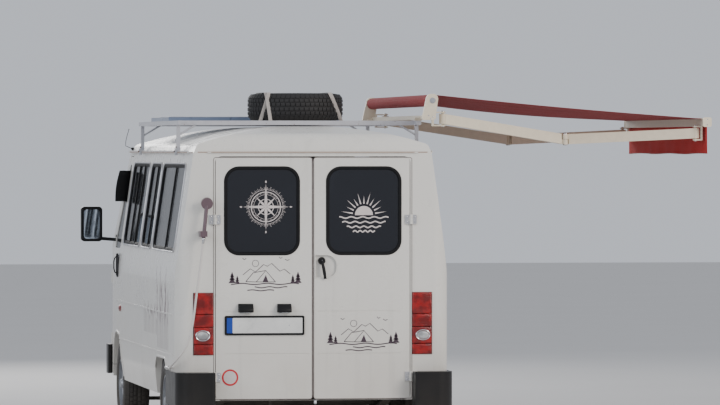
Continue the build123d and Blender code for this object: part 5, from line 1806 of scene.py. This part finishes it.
class VAN_OT_sides(bpy.types.Operator):
    """Fit the sides' arch lips, door handles, mirror glasses, deflectors and faded film"""

    bl_idname = "van.sides"
    bl_label = "Sides"

    # front arch: station, height and radius; rear arch: station, half width, top, corner
    arch = (3.85, 0.3375, 0.386)
    rear_arch = (0.9, 0.36, 0.64, 0.15)
    # the lip's profile, how far it stands outside the arch, and where the arches end
    lip = ((-0.007, LIFT), (0.007, LIFT), (0.0065, 0.004), (0.002, 0.0065), (-0.005, 0.005))
    lip_out = 0.009
    arch_foot = 0.4
    # the front arch's parts: stations of the cab door and its foot, then the panels either side
    door_arch = (3.712, 4.368, 0.478)
    arch_rear = 3.64
    arch_front = 0.465
    # cab door handle: the dish's edges, then the pull's station and its (height, out) rows
    dish = (3.748, 3.852, 1.14, 1.31)
    dish_rim = ((-0.006, LIFT), (0.006, LIFT), (0.004, 0.01), (-0.004, 0.01))
    pull_station = 3.826
    pull = ((1.158, 0.004), (1.172, 0.022), (1.2, 0.028), (1.25, 0.028), (1.278, 0.022), (1.292, 0.004))
    # mirror glass: across, station, height, width, height; then its bezel
    mirror = (1.098, 4.1625, 1.526, 0.132, 0.232)
    bezel = ((-0.005, LIFT), (0.006, LIFT), (0.006, 0.007), (-0.003, 0.007))
    # deflector: rear station and length, bottom and height, its grid, and its clips
    deflector_run = (3.8, 0.33)
    deflector_rise = (1.7, 0.23)
    deflector_grid = (10, 6)
    deflector_line = 3.76
    clips = ((0.3, 1.735), (0.3, 1.9), (0.93, 1.735), (0.93, 1.9))
    marker = (3.62, 0.907)
    # sliding door's rail: height, stations and profile; its grip's (station, out) rows
    rail_height = 1.18
    rail_stations = (0.95, 1.4, 1.9, 2.4)
    rail = (
        (-0.011, LIFT), (0.011, LIFT), (0.011, 0.007), (0.005, 0.009), (-0.005, 0.009), (-0.011, 0.007),
    )
    grip_height = 1.108
    grip = ((2.612, 0.004), (2.63, 0.024), (2.66, 0.03), (2.69, 0.03), (2.712, 0.024), (2.728, 0.004))
    fuel_place = (0.33, 0.64)
    fuel_cap = ((0, 0), (0, 0.04), (0.01, 0.038), (0.014, 0.03), (0.014, 0))

    def execute(self, context):
        for side, label in SIDES:
            self.arch_lips(side, label)
            self.door_handle(side, label)
            self.mirror_glass(side, label)
            self.deflector(side, label)
            stations = [0.05 + 3.8 * k / 60 for k in range(61)]
            origins = [spot(side * FAR_OUT, station, 2.0685) for station in stations]
            sealant("roof_sealant_" + label, origins, (-side, 0, 0), 0.0022)
        markers = []
        for side in (1, -1):
            point, out = side_hit(side, *self.marker)
            half_a, half_b = Vector((0, 0.05, 0)), Vector((0, 0, 0.026))
            markers.append(dome_mesh(point + out * LIFT, half_a, half_b, out, 0.015))
        add_piece("side_markers", markers, "lamp_red")
        self.film()
        self.slide_gear()
        return {"FINISHED"}

    def arch_lips(self, side, label):
        centre, level, radius = self.arch
        low, high, foot = self.door_arch
        door = []
        front = []
        back = []
        for station, height in circle((centre, level), radius + self.lip_out, 91, 0, 180):
            if height < self.arch_foot or not has_side(side, station, height):
                continue
            if low < station < high and height > foot:
                door.append((station, height))
            elif station < self.arch_rear:
                back.append((station, height))
            elif station > centre and height < self.arch_front:
                front.append((station, height))
        centre, half, top, corner = self.rear_arch
        ends = (centre - half - self.lip_out, centre + half + self.lip_out)
        loop = rounded_loop(*ends, 0.0, top + self.lip_out, corner + self.lip_out, 10)
        rear = [
            (a, b) for a, b in thickened(loop, 0.05) if b > self.arch_foot and has_side(side, a, b)
        ]
        # the loop is open below, so it starts after its longest gap
        gaps = [abs(rear[i][1] - rear[i - 1][1]) + abs(rear[i][0] - rear[i - 1][0])
                for i in range(len(rear))]
        start = gaps.index(max(gaps))
        runs = [run for run in (front, back, rear[start:] + rear[:start]) if len(run) > 1]
        put = partial(side_hit, side)
        profile = [(a * side, b) for a, b in self.lip]
        add_piece("arch_lips_" + label, strip_mesh(runs, put, profile), "paint")
        mesh = strip_mesh([door], put, profile)
        add_piece("door_arch_lip_" + label, mesh, "paint", "cab_door_" + label)

    def door_handle(self, side, label):
        x = side_hit(side, 3.8, 1.225)[0].x
        put = partial(beside, x, side)
        dish = rounded_loop(*self.dish, 0.04, 6)
        rim = strip_mesh([dish], put, self.dish_rim, closed=True)
        pull = grip_mesh(x, side, [(self.pull_station, b, out) for b, out in self.pull], 0.013)
        parts = [patch_mesh([dish], put, 0.005), rim, pull]
        add_piece("cab_door_handle_" + label, parts, "black_plastic", "cab_door_" + label)

    def mirror_glass(self, side, label):
        across, station, height, wide, tall = self.mirror
        body = "cab_door_" + label

        put = partial(on_rear, depth=station)
        loop = loop_round(side * across, height, wide, tall, 0.028, 6)
        bezel = strip_mesh([loop], put, self.bezel, closed=True)
        add_piece("mirror_glass_" + label, patch_mesh([loop], put, 0.0025), "mirror", body)
        add_piece("mirror_bezel_" + label, bezel, "black_plastic", body, slot="mirror_shell")

    def deflector(self, side, label):
        """A dark wind deflector that stands off the top of the cab door's window."""
        rear, run = self.deflector_run
        low, rise = self.deflector_rise
        columns, rows = self.deflector_grid
        body = "cab_door_" + label

        def off_side(off, station, height):
            x = side_hit(side, self.deflector_line, height)[0].x
            return Vector((x + side * off, REAR_Y - station, height))

        def at(column, row):
            """The first column of points closes the rear edge against the window."""
            share = (column - 1) / columns
            off = self.flare(share) + 0.01 * math.sin(math.pi * row / rows)
            station = rear + run * max(share, 0)
            return off_side(off if column else 0.002, station, low + rise * row / rows)

        sheet = add_piece("wind_deflector_" + label, grid_mesh(columns + 1, rows, at), "rubber", body)
        thicken(sheet, 0.003)
        clips = []
        for share, height in self.clips:
            station = rear + run * share
            near = off_side(-0.001, station, height) - Vector((0, 0.008, 0.006))
            far = off_side(self.flare(share), station, height) + Vector((0, 0.008, 0.006))
            clips.append(box_mesh(near, far, 0.002))
        add_piece("deflector_clips_" + label, clips, "black_plastic", body)

    @staticmethod
    def flare(share):
        """How far the deflector stands off, from its rear edge to its front one."""
        return 0.012 + 0.074 * (1 - share)

    def film(self):
        """Worn film on the left: stems and leaves of reeds."""
        stems = []
        leaves = []
        for k in range(9):
            foot = 0.48 + 0.078 * k
            tall = 0.3 + 0.26 * abs(math.sin(k * 2.1 + 0.4))
            lean = 0.11 * math.sin(k * 1.7)
            stem = [(foot + lean * (j / 8) ** 2, 0.705 + tall * j / 8) for j in range(9)]
            stems.append(stem)
            seed = ((-0.008, -0.045), (0, 0.012), (0.008, -0.045), (0, -0.058))
            leaves.append(self.leaf(stem[-1], 1, seed))
            blade = ((0, 0), (0.022, 0.05), (0.034, 0.094), (0.012, 0.062))
            leaves += [self.leaf(stem[j], way, blade) for j, way in ((3, 1), (5, -1))]
        for k in range(10):
            foot = 1.18 + 0.088 * k
            tall = 0.1 + 0.12 * abs(math.sin(k * 1.3))
            lean = 0.02 * math.sin(k)
            stem = [(foot + lean * (j / 5) ** 2, 0.792 + tall * j / 5) for j in range(6)]
            stems.append(stem)
            blade = ((0, 0), (0.014, 0.034), (0.02, 0.062), (0.006, 0.04))
            leaves.append(self.leaf(stem[3], 1, blade))
        parts = [line_mesh(stems, 0.0075, on_left, 0.0004), patch_mesh(leaves, on_left, 0.0004)]
        add_piece("side_film", parts, "vinyl_faded")

    @staticmethod
    def leaf(foot, way, rows):
        return [(foot[0] + way * a, foot[1] + b) for a, b in rows]

    def slide_gear(self):
        """The sliding door's handle and rail on the right, and the fuel cap behind it."""
        side = -1
        line = [(station, self.rail_height) for station in self.rail_stations]
        add_piece("slide_rail", strip_mesh([line], partial(side_point, side), self.rail), "alloy")
        x = side_hit(side, 2.64, 1.105)[0].x
        loop = rounded_loop(2.6, 2.74, 1.06, 1.15, 0.02, 5)
        pan = patch_mesh([loop], partial(beside, x, side), 0.004)
        grip = grip_mesh(x, side, [(a, self.grip_height, out) for a, out in self.grip], 0.014)
        add_piece("slide_door_handle", [pan, grip], "black_plastic")
        cap = turned(self.fuel_cap, side_hit(side, *self.fuel_place)[0], (side, 0, 0), 32)
        add_piece("fuel_cap", cap, "black_plastic")


class VAN_OT_roof(bpy.types.Operator):
    """Strap the spare wheel down, and fit the rack's bolts and battens and the aerial"""

    bl_idname = "van.roof"
    bl_label = "Roof gear"

    # spare tyre: across, station, radius
    tyre = (-0.06, 1.3295, 0.3365)
    # across at the foot and at the top of each strap run
    straps = ((0.215, 0.16), (0.15, 0.178), (-0.368, -0.27))
    strap_half = 0.013
    # rack feet: stations and heights of the bolts, and a bolt's profile
    feet = (0.76, 3.04)
    bolt_heights = (2.075, 2.105)
    bolt = ((0, 0), (0, 0.0075), (0.005, 0.0075), (0.005, 0.004), (0.009, 0.004), (0.009, 0))
    battens = (1.9, 2.44, 2.98)
    # aerial: where its foot stands, then the whip's route (across, station, height)
    aerial_foot = ((-0.002, 0), (-0.002, 0.013), (0.008, 0.012), (0.018, 0.006), (0.018, 0))
    whip = ((0.866, 3.94, 2.115), (0.862, 3.955, 2.15), (0.85, 3.97, 2.195), (0.836, 3.985, 2.235))
    whip_tip = ((0, 0), (0, 0.0035), (0.006, 0.0035), (0.008, 0))

    def execute(self, context):
        self.tyre_straps()
        origins = [spot(-0.79 + 1.58 * k / 48, -1.0, 2.069) for k in range(49)]
        sealant("roof_sealant_rear", origins, (0, -1, 0), 0.002)
        self.rack_bolts()
        self.aerial()
        return {"FINISHED"}

    def tyre_straps(self):
        low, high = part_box("spare_wheel")
        top = high.z + 0.0025
        base = low.z - 0.004
        profile = rounded_loop(-self.strap_half, self.strap_half, 0.0, 0.0022, 0.0008, 2)
        # how far in from the tread, height, and the way out
        climb = (
            (0.004, base, (0, 1, 0)), (0.0, base + 0.05, (0, 1, 0)), (0.0, base + 0.1, (0, 1, 0)),
            (0.0, top - 0.045, (0, 1, 0)), (0.006, top - 0.02, (0, 1, 0.3)),
            (0.022, top - 0.004, (0, 1, 1)), (0.045, top, (0, 0.2, 1)),
        )
        made = []
        for foot, head in self.straps:
            path = []
            outs = []
            for way, rows in ((-1, climb), (1, reversed(climb))):
                for inward, height, out in rows:
                    across = foot + (head - foot) * (height - base) / (top - base)
                    aside = across - self.tyre[0]
                    chord = math.sqrt(self.tyre[2] ** 2 - aside**2) + 0.006 - inward
                    path.append(spot(across, self.tyre[1] + way * chord, height))
                    outs.append(Vector((0, -way * out[1], out[2])).normalized())
            made.append(swept(path, outs, profile))
        add_piece("tyre_straps", made, "webbing", slot="awning_metal")

    def rack_bolts(self):
        bolts = []
        for side in (1, -1):
            for station in self.feet:
                for height in self.bolt_heights:
                    origin = spot(side * FAR_OUT, station, height)
                    point, _ = skin_hit("roof_rack", origin, (-side, 0, 0))
                    if point:
                        place = point + Vector((side * LIFT, 0, 0))
                        bolts.append(turned(self.bolt, place, (side, 0, 0), 6))
        if not bolts:
            raise RuntimeError("no rack foot stands where its bolts go")
        add_piece("rack_bolts", bolts, "rust")
        battens = [
            box_mesh(spot(-0.47, a - 0.012, 2.3182), spot(0.77, a + 0.012, 2.3222), 0.001)
            for a in self.battens
        ]
        add_piece("panel_battens", battens, "alloy", slot="panel")

    def aerial(self):
        point, out = skin_hit("roof_panel", spot(FAR_OUT, 3.93, 2.09), (-1, 0, 0))
        route = [point + out * 0.014, *(spot(*place) for place in self.whip)]
        parts = [
            turned(self.aerial_foot, point, out, 16),
            round_bar(route, 0.0022, 8),
            turned(self.whip_tip, route[-1], (0, 0, 1), 8),
        ]
        add_piece("aerial", parts, "black_plastic")


class VAN_OT_finishes(bpy.types.Operator):
    """Make every finish and give the CAD pieces theirs"""

    bl_idname = "van.finishes"
    bl_label = "Finishes"

    def execute(self, context):
        make_finishes(context.scene.van_colours)
        for finish, names in NODE_FINISHES:
            for node in [NODES[name] for name in names.split()]:
                if not node.material_slots:
                    node.data.materials.append(FINISHES[finish])
                for slot in node.material_slots:
                    slot.material = FINISHES[finish]
        LAYOUTS.update(ring=ring_layout(), row=row_layout())
        return {"FINISHED"}


OPERATORS = (
    VAN_OT_stage,
    VAN_OT_finishes,
    VAN_OT_hose,
    VAN_OT_tyres,
    VAN_OT_windows,
    VAN_OT_rear_doors,
    VAN_OT_awning,
    VAN_OT_seats,
    VAN_OT_lamps,
    VAN_OT_sides,
    VAN_OT_roof,
)


class VAN_PT_panel(bpy.types.Panel):
    """Lists the steps that dress the van"""

    bl_idname = "VAN_PT_panel"
    bl_label = "Camper van"
    bl_space_type = "VIEW_3D"
    bl_region_type = "UI"
    bl_category = "Camper"

    def draw(self, context):
        for step in OPERATORS:
            self.layout.operator(step.bl_idname)
        for group in (context.scene.van_sizes, context.scene.van_colours):
            for name in group.bl_rna.properties.keys():
                if name not in ("rna_type", "name"):
                    self.layout.prop(group, name)


CLASSES = (VanSizes, VanColours, *OPERATORS, VAN_PT_panel)


def register():
    for kind in CLASSES:
        bpy.utils.register_class(kind)
    bpy.types.Scene.van_sizes = PointerProperty(type=VanSizes)
    bpy.types.Scene.van_colours = PointerProperty(type=VanColours)


def unregister():
    del bpy.types.Scene.van_colours
    del bpy.types.Scene.van_sizes
    for kind in reversed(CLASSES):
        bpy.utils.unregister_class(kind)


def main():
    register()
    for step in OPERATORS:
        group, name = step.bl_idname.split(".")
        getattr(getattr(bpy.ops, group), name)()


if __name__ == "__main__":
    main()
